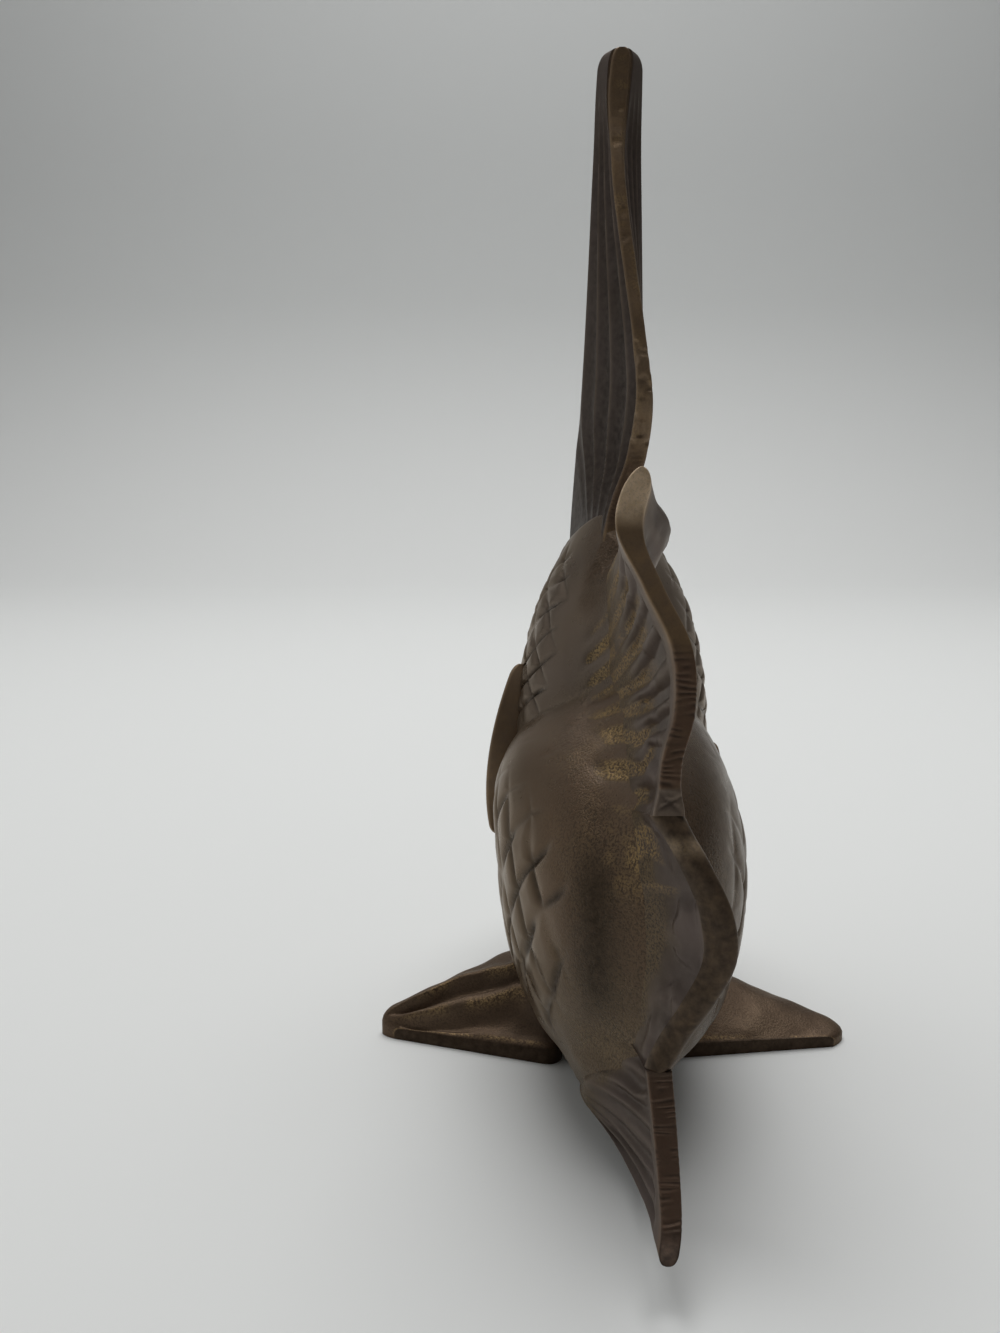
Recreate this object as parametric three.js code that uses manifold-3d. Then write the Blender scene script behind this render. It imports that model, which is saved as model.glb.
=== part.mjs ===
// Brass angelfish figurine, 202 mm tall, standing on its two pelvic fins.
// Frame: millimetres, +Z up, head towards +Y, tail towards -Y, the fish's right side towards +X.
// Two hollow half castings make the body, and every fin is a casting whose tongue sits in a slot of them.
import * as THREE from 'three';
import { mergeVertices } from 'three/addons/utils/BufferGeometryUtils.js';
import Module from 'manifold-3d';

const wasm = await Module();
wasm.setup();

// Body: rounded lobes that melt together, each with its middle, its reach each way and its squareness
const LOWER_LOBE = { y: 5.5, z: 43.4, wide: 24.2, rear: 49.8, front: 48, up: 35.8, down: 41.3, square: 2.1 };
const UPPER_LOBE = { y: 25.2, z: 64.3, wide: 20.3, rear: 30.8, front: 38, up: 45.5, down: 40, square: 1.93 };
const HEAD_LOBE = { y: 40, z: 53, wide: 18.5, rear: 34, front: 31, up: 38, down: 38, square: 2 };
const LIPS = { y: 66, z: 51, wide: 6, rear: 14, front: 8, up: 6.5, down: 6, square: 2 };
const CREASE_SOFTNESS = 0.015;
const BODY_CENTRE_Y = 22;
const BODY_CENTRE_Z = 55;
const BODY_CENTRE = new THREE.Vector3(0, BODY_CENTRE_Y, BODY_CENTRE_Z);
const WALL = 5.5;

// Eyes, cast on the body shells
const EYE_Y = 57;
const EYE_Z = 63;
const EYE_RADIUS = 4.6;
const EYE_HEIGHT = 1.6;

// Fits between the castings
const FIT_CLEARANCE = 0.3;
const TONGUE_DEPTH = 3.5;
const TONGUE_HALF = 1.4;
const TONGUE_INSET = 4;
const TONGUE_GRIP = 5;

// Median fins: turn from straight ahead over the back, reach from the body centre, sway to the right
const DORSAL_LEADING = [
  { degrees: 67.2, reach: 62, sway: 0 },
  { degrees: 75.1, reach: 82, sway: 0 },
  { degrees: 79.2, reach: 96, sway: 0 },
  { degrees: 83, reach: 115, sway: 0 },
  { degrees: 85.8, reach: 137, sway: 0 },
  { degrees: 87.3, reach: 147, sway: 0 },
];
const DORSAL_TRAILING = [
  { degrees: 96.5, reach: 61.5, sway: 0.2 },
  { degrees: 99.2, reach: 69, sway: 3 },
  { degrees: 100.4, reach: 80, sway: 3.9 },
  { degrees: 98, reach: 93, sway: 2.6 },
  { degrees: 95, reach: 103.5, sway: 1.3 },
  { degrees: 91.4, reach: 122, sway: -0.8 },
  { degrees: 89, reach: 137, sway: -0.8 },
  { degrees: 88.7, reach: 147, sway: 0 },
];
const DORSAL_ROOT_DEGREES = [61, 92];
const DORSAL_FRONT_HALF_BASE = 9.6;
const DORSAL_FRONT_HALF_TIP = 4.9;
const DORSAL_RIM_HALF = 2;
const DORSAL_EDGE_SHARE = 0.18;
const DORSAL_TIP_SHARE = 0.035;
const DORSAL_TIP_NARROWING_SHARE = 0.5;
const DORSAL_FLUTE_COUNT = 4.4;
const DORSAL_FLUTE_PHASE = 0.15;
const DORSAL_FLUTE_DEPTH = 1.3;
const DORSAL_FAN_SHARE = 0.42;

const TAIL_UPPER_RIM = [
  { degrees: 132.1, reach: 91, sway: -1.8 },
  { degrees: 137.1, reach: 86, sway: -4 },
  { degrees: 143.6, reach: 83.3, sway: -0.3 },
  { degrees: 150.6, reach: 81.5, sway: 4 },
  { degrees: 157.3, reach: 79.1, sway: 4.3 },
  { degrees: 162.5, reach: 78.7, sway: 2.3 },
  { degrees: 168.6, reach: 77.9, sway: 1.8 },
];
const TAIL_UPPER_ROOT_DEGREES = [104, 170];
const TAIL_UPPER_RIM_HALF = 1.7;
const TAIL_UPPER_TIP_SHARE = 0.08;
const TAIL_RAY_COUNT = 9.5;
const TAIL_RAY_SLANT = 0.07;
const TAIL_RAY_DEPTH = 1.2;
const TAIL_RAY_ROOT_SHARE = 0.5;
const TAIL_RAY_RIM_SHARE = 0.8;
const TAIL_CURL = 5;
const TAIL_CURL_ALONG_SHARE = 0.13;
const TAIL_CURL_OUT_SHARE = 0.68;
const TAIL_CURL_SPREAD_SHARE = 0.2;

const TAIL_LOWER_RIM = [
  { degrees: 168.6, reach: 77.9, sway: 1.8 },
  { degrees: 173.3, reach: 80.6, sway: 6 },
  { degrees: 179, reach: 82, sway: 9.9 },
  { degrees: 184, reach: 82.3, sway: 10.6 },
  { degrees: 189.1, reach: 82, sway: 7.8 },
  { degrees: 194.4, reach: 81.5, sway: 4 },
  { degrees: 198, reach: 83, sway: 1 },
];
const TAIL_LOWER_ROOT_DEGREES = [170, 206];
const TAIL_LOWER_RIM_HALF = 2.1;
const TAIL_ROOT_HALF = 7.5;
const TAIL_FLARE_POWER = 3;

const ANAL_RIM = [
  { degrees: 198, reach: 83, sway: 1 },
  { degrees: 202, reach: 89.5, sway: 1.6 },
  { degrees: 206, reach: 101.3, sway: 1.7 },
  { degrees: 206.3, reach: 106.5, sway: 0.6 },
];
const ANAL_ROOT_DEGREES = [206, 240];
const ANAL_RIM_HALF = 1.8;
const ANAL_ROOT_HALF_RIGHT = 8;
const ANAL_ROOT_HALF_LEFT = 19;
const ANAL_FLARE_POWER = 2.5;
const ANAL_WIDENING_SHARE = 0.5;
const ANAL_TUCK_SHARE = 0.2;
const ANAL_TUCK_LEAST_SHARE = 0.5;
const ANAL_LOWER_EDGE_SHARE = 0.06;

const SWAY_POWER = 1.6;
const EDGE_BLUNTNESS_SHARE = 0.3;

// Pectoral fins, laid back along the flanks: the left one fans up, the right one lies lower
const PECTORAL_ROOT_Y = 42;
const PECTORAL_ROOT_LOW = 46;
const PECTORAL_ROOT_HIGH = 61;
const PECTORAL_TIP_ROUND = 6;
const PECTORAL_TIP_GAP = 0.9;
const PECTORAL_ROOT_HALF = 2.4;
const PECTORAL_TIP_HALF = 1.2;
const PECTORALS = {
  left: { side: -1, tipY: 17, tipLow: 41, tipHigh: 79, tipBulge: 3.2 },
  right: { side: 1, tipY: 24, tipLow: 37, tipHigh: 60, tipBulge: 1 },
};

// Pelvic fins, the two feet that the fish stands on
const FOOT_ROOT_X = 11;
const FOOT_TIP_X = 49.5;
const FOOT_FRONT_ROOT_Y = 33;
const FOOT_FRONT_TIP_Y = 14;
const FOOT_FRONT_POWER = 1.4;
const FOOT_EDGE_ROOT_HEIGHT = 3.2;
const FOOT_EDGE_TIP_HEIGHT = 2.4;
const FOOT_TIP_CURVE = 3;
const FOOT_TIP_LEAST_SHARE = 0.6;
const FOOT_TIP_SHARE = 0.06;
const FOOT_ROOT_CURVE = 5;
const FOOT_ROOT_SHARE = 0.12;
const FOOT_CREST_SHARE = 0.62;
const FEET = {
  left: { side: -1, rearRootY: -3.4, rearTipY: 8.4, crestRoot: 19.3, crestTip: 5 },
  right: { side: 1, rearRootY: 0, rearTipY: 5, crestRoot: 14.3, crestTip: 2.6 },
};
const FOOT_TONGUE_Z = 7.5;
const FOOT_TONGUE_REAR_Y = 11;
const FOOT_TONGUE_FRONT_Y = 21;

// How finely the castings are faceted
const BODY_FACETS = { around: 60, across: 30 };
const CAVITY_FACETS = { around: 28, across: 14 };
const DORSAL_FACETS = { along: 16, up: 20 };
const TAIL_UPPER_FACETS = { along: 44, up: 8 };
const FIN_FACETS = { along: 14, up: 7 };
const FOOT_FACETS = { along: 10, across: 12 };
const TONGUE_FACETS = { along: 6, up: 1 };
const EYE_FACETS = 14;

// How the skin is found along a line from inside
const SKIN_SEARCH_STEP = 1;
const SKIN_HALVINGS = 24;

const PATINA = { color: 0x4e463e, metalness: 0.85, roughness: 0.45 };
const FIN_PATINA = { color: 0x554b4a, metalness: 0.85, roughness: 0.48 };
const FOOT_PATINA = { color: 0x554437, metalness: 0.85, roughness: 0.5 };

const { lerp, smoothstep, degToRad } = THREE.MathUtils;

// From 0 at an end to 1 at a reach from it, like a quarter circle
function roundedEnd(distance, reach) {
  const short = 1 - Math.min(1, distance / reach);
  return Math.sqrt(1 - short ** 2);
}

// The same, but starting blunt from a least share
function bluntEnd(distance, reach, least) {
  return lerp(least, 1, roundedEnd(distance, reach));
}

// A round hump of height 1
function hump(distance, width) {
  return Math.exp(-((distance / width) ** 2));
}

// Lobes grown or shrunk all round
function grownLobes(lobes, grow) {
  return lobes.map((lobe) => ({
    ...lobe,
    wide: lobe.wide + grow,
    rear: lobe.rear + grow,
    front: lobe.front + grow,
    up: lobe.up + grow,
    down: lobe.down + grow,
  }));
}

// Below zero inside the melted lobes, above zero outside
function lobeField(point, lobes) {
  let sum = 0;
  for (const lobe of lobes) {
    const dy = point.y - lobe.y;
    const dz = point.z - lobe.z;
    const across = Math.abs(point.x) / lobe.wide;
    const along = Math.abs(dy) / (dy < 0 ? lobe.rear : lobe.front);
    const upright = Math.abs(dz) / (dz < 0 ? lobe.down : lobe.up);
    const size = (across ** lobe.square + along ** lobe.square + upright ** lobe.square) ** (1 / lobe.square);
    sum += Math.exp((1 - size) / CREASE_SOFTNESS);
  }
  return -CREASE_SOFTNESS * Math.log(sum);
}

// A reach from anywhere inside that is sure to end outside the lobes
function outsideReach(lobes) {
  const lows = lobes.map((lobe) => Math.min(lobe.y - lobe.rear, lobe.z - lobe.down, -lobe.wide));
  const highs = lobes.map((lobe) => Math.max(lobe.y + lobe.front, lobe.z + lobe.up, lobe.wide));
  return Math.max(...highs) - Math.min(...lows);
}

// Distance from a start, along a direction, to the outermost skin
function skinDistance(start, direction, lobes) {
  const point = new THREE.Vector3();
  const field = (distance) => lobeField(point.copy(start).addScaledVector(direction, distance), lobes);
  let inside = outsideReach(lobes);
  while (inside > 0 && field(inside) > 0) inside -= SKIN_SEARCH_STEP;
  let outside = inside + SKIN_SEARCH_STEP;
  for (let halving = 0; halving < SKIN_HALVINGS; halving++) {
    const middle = (inside + outside) / 2;
    if (field(middle) > 0) outside = middle;
    else inside = middle;
  }
  return inside;
}

const SKIN = [LOWER_LOBE, UPPER_LOBE, HEAD_LOBE, LIPS];
const TRUNK = [LOWER_LOBE, UPPER_LOBE, HEAD_LOBE];

// A point on the middle plane, by its turn about the body centre and its reach
function medianPoint({ degrees, reach, sway }) {
  const angle = degToRad(degrees);
  return new THREE.Vector3(sway, Math.cos(angle) * reach, Math.sin(angle) * reach)
    .add(new THREE.Vector3(0, BODY_CENTRE.y, BODY_CENTRE.z));
}

// A point on the middle plane at the bottom of the slots
function medianRoot(degrees) {
  const angle = degToRad(degrees);
  const direction = new THREE.Vector3(0, Math.cos(angle), Math.sin(angle));
  return medianPoint({ degrees, reach: skinDistance(BODY_CENTRE, direction, SKIN) - TONGUE_DEPTH, sway: 0 });
}

// A smooth edge through points
function edgeCurve(points) {
  return new THREE.CatmullRomCurve3(points, false, 'centripetal');
}

// How far the flank stands from the middle plane
function flank(y, z) {
  return skinDistance(new THREE.Vector3(0, y, z), new THREE.Vector3(1, 0, 0), SKIN);
}

// A closed geometry as a solid with its faces out
function solidOf(geometry) {
  geometry.deleteAttribute('normal');
  geometry.deleteAttribute('uv');
  const merged = mergeVertices(geometry);
  const vertProperties = merged.attributes.position.array;
  const triVerts = new Uint32Array(merged.index.array);
  const make = () => new wasm.Manifold(new wasm.Mesh({ numProp: 3, vertProperties, triVerts }));
  const made = make();
  if (made.volume() > 0) return made;
  for (let i = 0; i < triVerts.length; i += 3) {
    [triVerts[i + 1], triVerts[i + 2]] = [triVerts[i + 2], triVerts[i + 1]];
  }
  return make();
}

function meshOf(solid, name, finish) {
  const { vertProperties, triVerts } = solid.getMesh();
  const geometry = new THREE.BufferGeometry();
  geometry.setAttribute('position', new THREE.Float32BufferAttribute(vertProperties, 3));
  geometry.setIndex(new THREE.Uint32BufferAttribute(triVerts, 1));
  geometry.computeVertexNormals();
  const mesh = new THREE.Mesh(geometry, new THREE.MeshStandardMaterial(finish));
  mesh.name = name;
  return mesh;
}

// A closed slab between two faces: faceAt(u, v, 1) and faceAt(u, v, -1), with u and v from 0 to 1
function slab(columns, rows, faceAt) {
  const positions = [];
  for (const face of [1, -1]) {
    for (let i = 0; i <= columns; i++) {
      for (let j = 0; j <= rows; j++) positions.push(...faceAt(i / columns, j / rows, face).toArray());
    }
  }
  const faceCount = (columns + 1) * (rows + 1);
  const at = (i, j, face) => (face > 0 ? 0 : faceCount) + i * (rows + 1) + j;
  const index = [];
  const quad = (a, b, c, d) => index.push(a, b, c, a, c, d);
  for (let i = 0; i < columns; i++) {
    for (let j = 0; j < rows; j++) {
      quad(at(i, j, 1), at(i + 1, j, 1), at(i + 1, j + 1, 1), at(i, j + 1, 1));
      quad(at(i, j, -1), at(i, j + 1, -1), at(i + 1, j + 1, -1), at(i + 1, j, -1));
    }
    quad(at(i, 0, -1), at(i + 1, 0, -1), at(i + 1, 0, 1), at(i, 0, 1));
    quad(at(i, rows, 1), at(i + 1, rows, 1), at(i + 1, rows, -1), at(i, rows, -1));
  }
  for (let j = 0; j < rows; j++) {
    quad(at(0, j, 1), at(0, j + 1, 1), at(0, j + 1, -1), at(0, j, -1));
    quad(at(columns, j, -1), at(columns, j + 1, -1), at(columns, j + 1, 1), at(columns, j, 1));
  }
  const geometry = new THREE.BufferGeometry();
  geometry.setAttribute('position', new THREE.Float32BufferAttribute(positions, 3));
  geometry.setIndex(index);
  return solidOf(geometry);
}

// The closed body form of a set of lobes
function lobeSolid(lobes, facets) {
  const geometry = new THREE.SphereGeometry(1, facets.around, facets.across);
  geometry.rotateZ(Math.PI / 2);
  const position = geometry.attributes.position;
  const direction = new THREE.Vector3();
  const point = new THREE.Vector3();
  for (let i = 0; i < position.count; i++) {
    direction.fromBufferAttribute(position, i).normalize();
    const distance = skinDistance(BODY_CENTRE, direction, lobes);
    point.copy(BODY_CENTRE).addScaledVector(direction, distance);
    position.setXYZ(i, point.x, point.y, point.z);
  }
  return solidOf(geometry);
}

const bodyForm = lobeSolid(SKIN, BODY_FACETS);
const clearedBody = lobeSolid(grownLobes(SKIN, FIT_CLEARANCE), BODY_FACETS);
const cavity = lobeSolid(grownLobes(TRUNK, -WALL), CAVITY_FACETS);

// A casting that sits on the body with a tongue in its wall, and the slot that the tongue needs
function seated(form, tongue, slot) {
  return { solid: form.subtract(clearedBody).add(tongue), slot };
}

// A fin in the middle plane, ruled from one edge curve to the other, which sways.
// The tongue is the fin's own sheet near the root, where rootLine(along, out) starts from out = 0.
function medianFin({ near, far, half, rootLine, facets }) {
  const middle = (u, v) => {
    const start = near(u);
    const end = far(u);
    const point = start.clone().lerp(end, v);
    point.x = end.x * v ** SWAY_POWER;
    return point;
  };
  const form = slab(facets.along, facets.up, (u, v, face) => {
    const point = middle(u, v);
    point.x += face * half(u, v, face);
    return point;
  });
  const sheet = (along, out) => middle(...rootLine(along, out));
  const rootLength = sheet(0, 0).distanceTo(sheet(1, 0));
  const height = sheet(0.5, 0).distanceTo(sheet(0.5, 1));
  const grip = (2 * TONGUE_DEPTH + TONGUE_GRIP) / height;
  const plate = (grow) => slab(TONGUE_FACETS.along, TONGUE_FACETS.up, (u, v, face) => {
    const ends = (TONGUE_INSET - grow) / rootLength;
    const along = lerp(ends, 1 - ends, u);
    const bottom = sheet(along, 0);
    const top = sheet(along, grip);
    const outward = top.clone().sub(bottom).normalize();
    const point = v > 0 ? top.addScaledVector(outward, grow) : bottom.addScaledVector(outward, -grow);
    point.x += face * (TONGUE_HALF + grow);
    return point;
  });
  return seated(form, plate(0), plate(FIT_CLEARANCE));
}

// Hollows of the dorsal flutes, which fan out from the foot of its rear edge, from 0 to 1
function dorsalHollow(u, v) {
  const fan = smoothstep(u, 0, DORSAL_FAN_SHARE);
  const place = 1 - (1 - v) / Math.max(fan, DORSAL_TIP_SHARE);
  if (place < 0) return 0;
  const hollow = Math.abs(Math.sin(Math.PI * (DORSAL_FLUTE_COUNT * place + DORSAL_FLUTE_PHASE)));
  return hollow * roundedEnd(v, DORSAL_EDGE_SHARE) * fan * roundedEnd(1 - v, DORSAL_EDGE_SHARE)
    * roundedEnd(1 - u, DORSAL_EDGE_SHARE);
}

function dorsalFin() {
  const [frontTurn, rearTurn] = DORSAL_ROOT_DEGREES;
  const leading = edgeCurve([medianRoot(frontTurn), ...DORSAL_LEADING.map(medianPoint)]);
  const trailing = edgeCurve([medianRoot(rearTurn), ...DORSAL_TRAILING.map(medianPoint)]);
  return medianFin({
    near: (u) => leading.getPointAt(u),
    far: (u) => trailing.getPointAt(u),
    half: (u, v) => {
      const front = lerp(DORSAL_FRONT_HALF_BASE, DORSAL_FRONT_HALF_TIP, u);
      const wedge = lerp(front, DORSAL_RIM_HALF, v) * bluntEnd(v, DORSAL_EDGE_SHARE, EDGE_BLUNTNESS_SHARE);
      const tip = bluntEnd(1 - u, DORSAL_TIP_SHARE, DORSAL_TIP_NARROWING_SHARE);
      return wedge * tip - DORSAL_FLUTE_DEPTH * dorsalHollow(u, v);
    },
    rootLine: (along, out) => [out, along],
    facets: DORSAL_FACETS,
  });
}

// A tail or anal fin: from its root along the body to its rim, a little apart from the fin beside it
function rearFin({ rootDegrees, rim, half, facets }) {
  const rimCurve = edgeCurve(rim.map(medianPoint));
  const rootLength = medianRoot(rootDegrees[0]).distanceTo(medianRoot(rootDegrees[1]));
  const kept = (u, length) => lerp(FIT_CLEARANCE / length, 1 - FIT_CLEARANCE / length, u);
  return medianFin({
    near: (u) => medianRoot(lerp(...rootDegrees, kept(u, rootLength))),
    far: (u) => rimCurve.getPointAt(kept(u, rimCurve.getLength())),
    half,
    rootLine: (along, out) => [along, out],
    facets,
  });
}

// Half the thickness of a fin that widens towards its root
function flared(rimHalf, rootHalf, power, v) {
  return rimHalf + (rootHalf - rimHalf) * (1 - v) ** power;
}

function tailUpperHalf(u, v, face) {
  const plain = flared(TAIL_UPPER_RIM_HALF, TAIL_ROOT_HALF, TAIL_FLARE_POWER, v);
  const curlAlong = hump(u - TAIL_CURL_ALONG_SHARE, TAIL_CURL_ALONG_SHARE);
  const curl = face > 0 ? TAIL_CURL * curlAlong * hump(v - TAIL_CURL_OUT_SHARE, TAIL_CURL_SPREAD_SHARE) : 0;
  const turns = TAIL_RAY_COUNT * (u + TAIL_RAY_SLANT * v);
  const hollow = (1 - Math.cos(2 * Math.PI * turns)) / 2;
  const inside = smoothstep(v, 0, TAIL_RAY_ROOT_SHARE) * (1 - smoothstep(v, TAIL_RAY_RIM_SHARE, 1));
  const tip = bluntEnd(u, TAIL_UPPER_TIP_SHARE, EDGE_BLUNTNESS_SHARE);
  return (plain + curl) * tip - TAIL_RAY_DEPTH * hollow * inside;
}

function tailLowerHalf(u, v) {
  return flared(TAIL_LOWER_RIM_HALF, TAIL_ROOT_HALF, TAIL_FLARE_POWER, v);
}

function analHalf(u, v, face) {
  const widening = face < 0 ? smoothstep(u, 0, ANAL_WIDENING_SHARE) : 0;
  const rootHalf = lerp(ANAL_ROOT_HALF_RIGHT, ANAL_ROOT_HALF_LEFT, widening);
  const tuck = lerp(ANAL_TUCK_LEAST_SHARE, 1, smoothstep(v, 0, ANAL_TUCK_SHARE));
  const edge = bluntEnd(1 - u, ANAL_LOWER_EDGE_SHARE, EDGE_BLUNTNESS_SHARE);
  return flared(ANAL_RIM_HALF, rootHalf, ANAL_FLARE_POWER, v) * tuck * edge;
}

// A pectoral fin, laid back along the flank of one side, which it leaves towards its tip
function pectoralFin({ side, tipY, tipLow, tipHigh, tipBulge }) {
  const place = (u, v) => {
    const toEdge = (2 * u - 1) ** 2;
    const y = lerp(PECTORAL_ROOT_Y, tipY + PECTORAL_TIP_ROUND * toEdge, v);
    const z = lerp(lerp(PECTORAL_ROOT_LOW, PECTORAL_ROOT_HIGH, u), lerp(tipLow, tipHigh, u), v);
    const apart = lerp(-TONGUE_DEPTH, PECTORAL_TIP_GAP + tipBulge * (1 - toEdge), v);
    return new THREE.Vector3(flank(y, z) + apart, y, z);
  };
  const faceAt = (u, v, face, half) => {
    const sweep = place(u, 1).sub(place(u, 0));
    const outward = new THREE.Vector3(-sweep.y, sweep.x, 0).normalize();
    const point = place(u, v).addScaledVector(outward, face * half);
    point.x *= side;
    return point;
  };
  const form = slab(FIN_FACETS.along, FIN_FACETS.up, (u, v, face) => faceAt(
    u,
    v,
    face,
    lerp(PECTORAL_ROOT_HALF, PECTORAL_TIP_HALF, v),
  ));
  const rootSpan = PECTORAL_ROOT_HIGH - PECTORAL_ROOT_LOW;
  const sweepLength = place(0.5, 1).distanceTo(place(0.5, 0));
  const plate = (grow) => slab(TONGUE_FACETS.along, TONGUE_FACETS.up, (u, v, face) => {
    const ends = (TONGUE_INSET - grow) / rootSpan;
    const along = lerp(ends, 1 - ends, u);
    const back = v > 0 ? 2 * TONGUE_DEPTH + TONGUE_GRIP + grow : -grow;
    return faceAt(along, back / sweepLength, face, TONGUE_HALF + grow);
  });
  return seated(form, plate(0), plate(FIT_CLEARANCE));
}

// A pelvic fin: a flat-soled foot that rises to a crest along it
function pelvicFin({ side, rearRootY, rearTipY, crestRoot, crestTip }) {
  const place = (u, v) => {
    const rear = lerp(rearRootY, rearTipY, u) + FOOT_ROOT_CURVE * (1 - roundedEnd(u, FOOT_ROOT_SHARE));
    const front = lerp(FOOT_FRONT_ROOT_Y, FOOT_FRONT_TIP_Y, u ** FOOT_FRONT_POWER);
    const x = lerp(FOOT_ROOT_X, FOOT_TIP_X, u) - FOOT_TIP_CURVE * (2 * v - 1) ** 2 * u;
    return new THREE.Vector3(side * x, lerp(rear, front, v), 0);
  };
  const form = slab(FOOT_FACETS.along, FOOT_FACETS.across, (u, v, face) => {
    const point = place(u, v);
    const edge = lerp(FOOT_EDGE_ROOT_HEIGHT, FOOT_EDGE_TIP_HEIGHT, u);
    const slope = Math.min(v / FOOT_CREST_SHARE, (1 - v) / (1 - FOOT_CREST_SHARE));
    const height = edge + (lerp(crestRoot, crestTip, u) - edge) * Math.sin(slope * Math.PI / 2);
    point.z = face > 0 ? height * bluntEnd(1 - u, FOOT_TIP_SHARE, FOOT_TIP_LEAST_SHARE) : 0;
    return point;
  });
  const plate = (grow) => slab(TONGUE_FACETS.along, TONGUE_FACETS.up, (u, v, face) => {
    const y = lerp(FOOT_TONGUE_REAR_Y - grow, FOOT_TONGUE_FRONT_Y + grow, u);
    const reach = v > 0 ? TONGUE_GRIP + grow : -TONGUE_DEPTH - grow;
    return new THREE.Vector3(
      side * (flank(y, FOOT_TONGUE_Z) + reach),
      y,
      FOOT_TONGUE_Z + face * (TONGUE_HALF + grow),
    );
  });
  return seated(form, plate(0), plate(FIT_CLEARANCE));
}

// An eye boss on the cheek of one side
function eyeBoss(side) {
  const geometry = new THREE.SphereGeometry(EYE_RADIUS, EYE_FACETS, EYE_FACETS / 2);
  geometry.rotateZ(Math.PI / 2);
  geometry.scale(EYE_HEIGHT / EYE_RADIUS, 1, 1);
  geometry.translate(side * flank(EYE_Y, EYE_Z), EYE_Y, EYE_Z);
  return solidOf(geometry);
}

const SIDES = { left: -1, right: 1 };
const tailUpper = rearFin({
  rootDegrees: TAIL_UPPER_ROOT_DEGREES,
  rim: TAIL_UPPER_RIM,
  half: tailUpperHalf,
  facets: TAIL_UPPER_FACETS,
});
const tailLower = rearFin({
  rootDegrees: TAIL_LOWER_ROOT_DEGREES,
  rim: TAIL_LOWER_RIM,
  half: tailLowerHalf,
  facets: FIN_FACETS,
});
const anal = rearFin({ rootDegrees: ANAL_ROOT_DEGREES, rim: ANAL_RIM, half: analHalf, facets: FIN_FACETS });
const castings = {
  dorsal_fin: { ...dorsalFin(), finish: FIN_PATINA },
  tail_fin_upper: { ...tailUpper, finish: FIN_PATINA },
  tail_fin_lower: { ...tailLower, finish: FIN_PATINA },
  anal_fin: { ...anal, finish: FIN_PATINA },
};
for (const name of Object.keys(SIDES)) {
  castings[`pectoral_fin_${name}`] = { ...pectoralFin(PECTORALS[name]), finish: FIN_PATINA };
  castings[`pelvic_fin_${name}`] = { ...pelvicFin(FEET[name]), finish: FOOT_PATINA };
}

// One hollow half of the body, with a slot for every tongue
function bodyShell(side) {
  let shell = bodyForm.add(eyeBoss(side)).subtract(cavity);
  for (const casting of Object.values(castings)) shell = shell.subtract(casting.slot);
  const span = outsideReach(SKIN);
  const otherHalf = new THREE.BoxGeometry(span, 2 * span, 2 * span);
  otherHalf.translate(-side * (span - FIT_CLEARANCE) / 2, BODY_CENTRE.y, BODY_CENTRE.z);
  return shell.subtract(solidOf(otherHalf));
}

const figurine = new THREE.Group();
for (const [name, side] of Object.entries(SIDES)) {
  figurine.add(meshOf(bodyShell(side), `body_shell_${name}`, PATINA));
}
for (const [name, casting] of Object.entries(castings)) {
  figurine.add(meshOf(casting.solid, name, casting.finish));
}

// The origin is under the middle of the whole figurine, on the floor
const box = new THREE.Box3().setFromObject(figurine);
const middle = box.getCenter(new THREE.Vector3());
for (const mesh of figurine.children) mesh.position.set(-middle.x, -middle.y, -box.min.z);

export default figurine;
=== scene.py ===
"""Brass angelfish figurine with a dark patina, seen from behind, standing on its two pelvic fins.

Shapes are worked out in millimetres in the fish's own frame: +Z up, head towards +Y, tail towards -Y.
"""
import math

import bpy
import numpy as np
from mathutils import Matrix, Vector


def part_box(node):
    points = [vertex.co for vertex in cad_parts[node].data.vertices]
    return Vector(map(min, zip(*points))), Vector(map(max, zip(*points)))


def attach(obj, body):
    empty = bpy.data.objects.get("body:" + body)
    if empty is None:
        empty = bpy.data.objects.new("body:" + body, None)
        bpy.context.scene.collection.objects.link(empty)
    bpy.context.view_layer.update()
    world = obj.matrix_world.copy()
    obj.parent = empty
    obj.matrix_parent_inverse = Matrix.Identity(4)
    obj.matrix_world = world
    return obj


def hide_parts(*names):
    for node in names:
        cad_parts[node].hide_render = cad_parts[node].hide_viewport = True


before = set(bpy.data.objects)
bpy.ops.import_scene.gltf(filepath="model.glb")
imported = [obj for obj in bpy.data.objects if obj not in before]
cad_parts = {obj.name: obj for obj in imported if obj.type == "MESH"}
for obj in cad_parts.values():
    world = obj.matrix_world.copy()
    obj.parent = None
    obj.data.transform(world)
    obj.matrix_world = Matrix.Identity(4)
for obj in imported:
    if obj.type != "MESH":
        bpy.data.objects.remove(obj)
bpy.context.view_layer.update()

MM = 0.001
FINENESS = 1.0

# Body lobes: middle, reach each way and squareness
LOBES = (
    dict(y=5.5, z=43.4, wide=24.2, rear=49.8, front=48, up=35.8, down=41.3, square=2.1),
    dict(y=25.2, z=64.3, wide=20.3, rear=30.8, front=38, up=45.5, down=40, square=1.93),
    dict(y=40, z=53, wide=18.5, rear=34, front=31, up=38, down=38, square=2),
    dict(y=66, z=51, wide=6, rear=14, front=8, up=6.5, down=6, square=2),
)
CREASE_SOFTNESS = 0.015
BODY_CENTRE = np.array((0.0, 22.0, 55.0))
SKIN_REACH = 120.0
SKIN_HALVINGS = 22
SLOPE_STEP = 0.05

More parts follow.
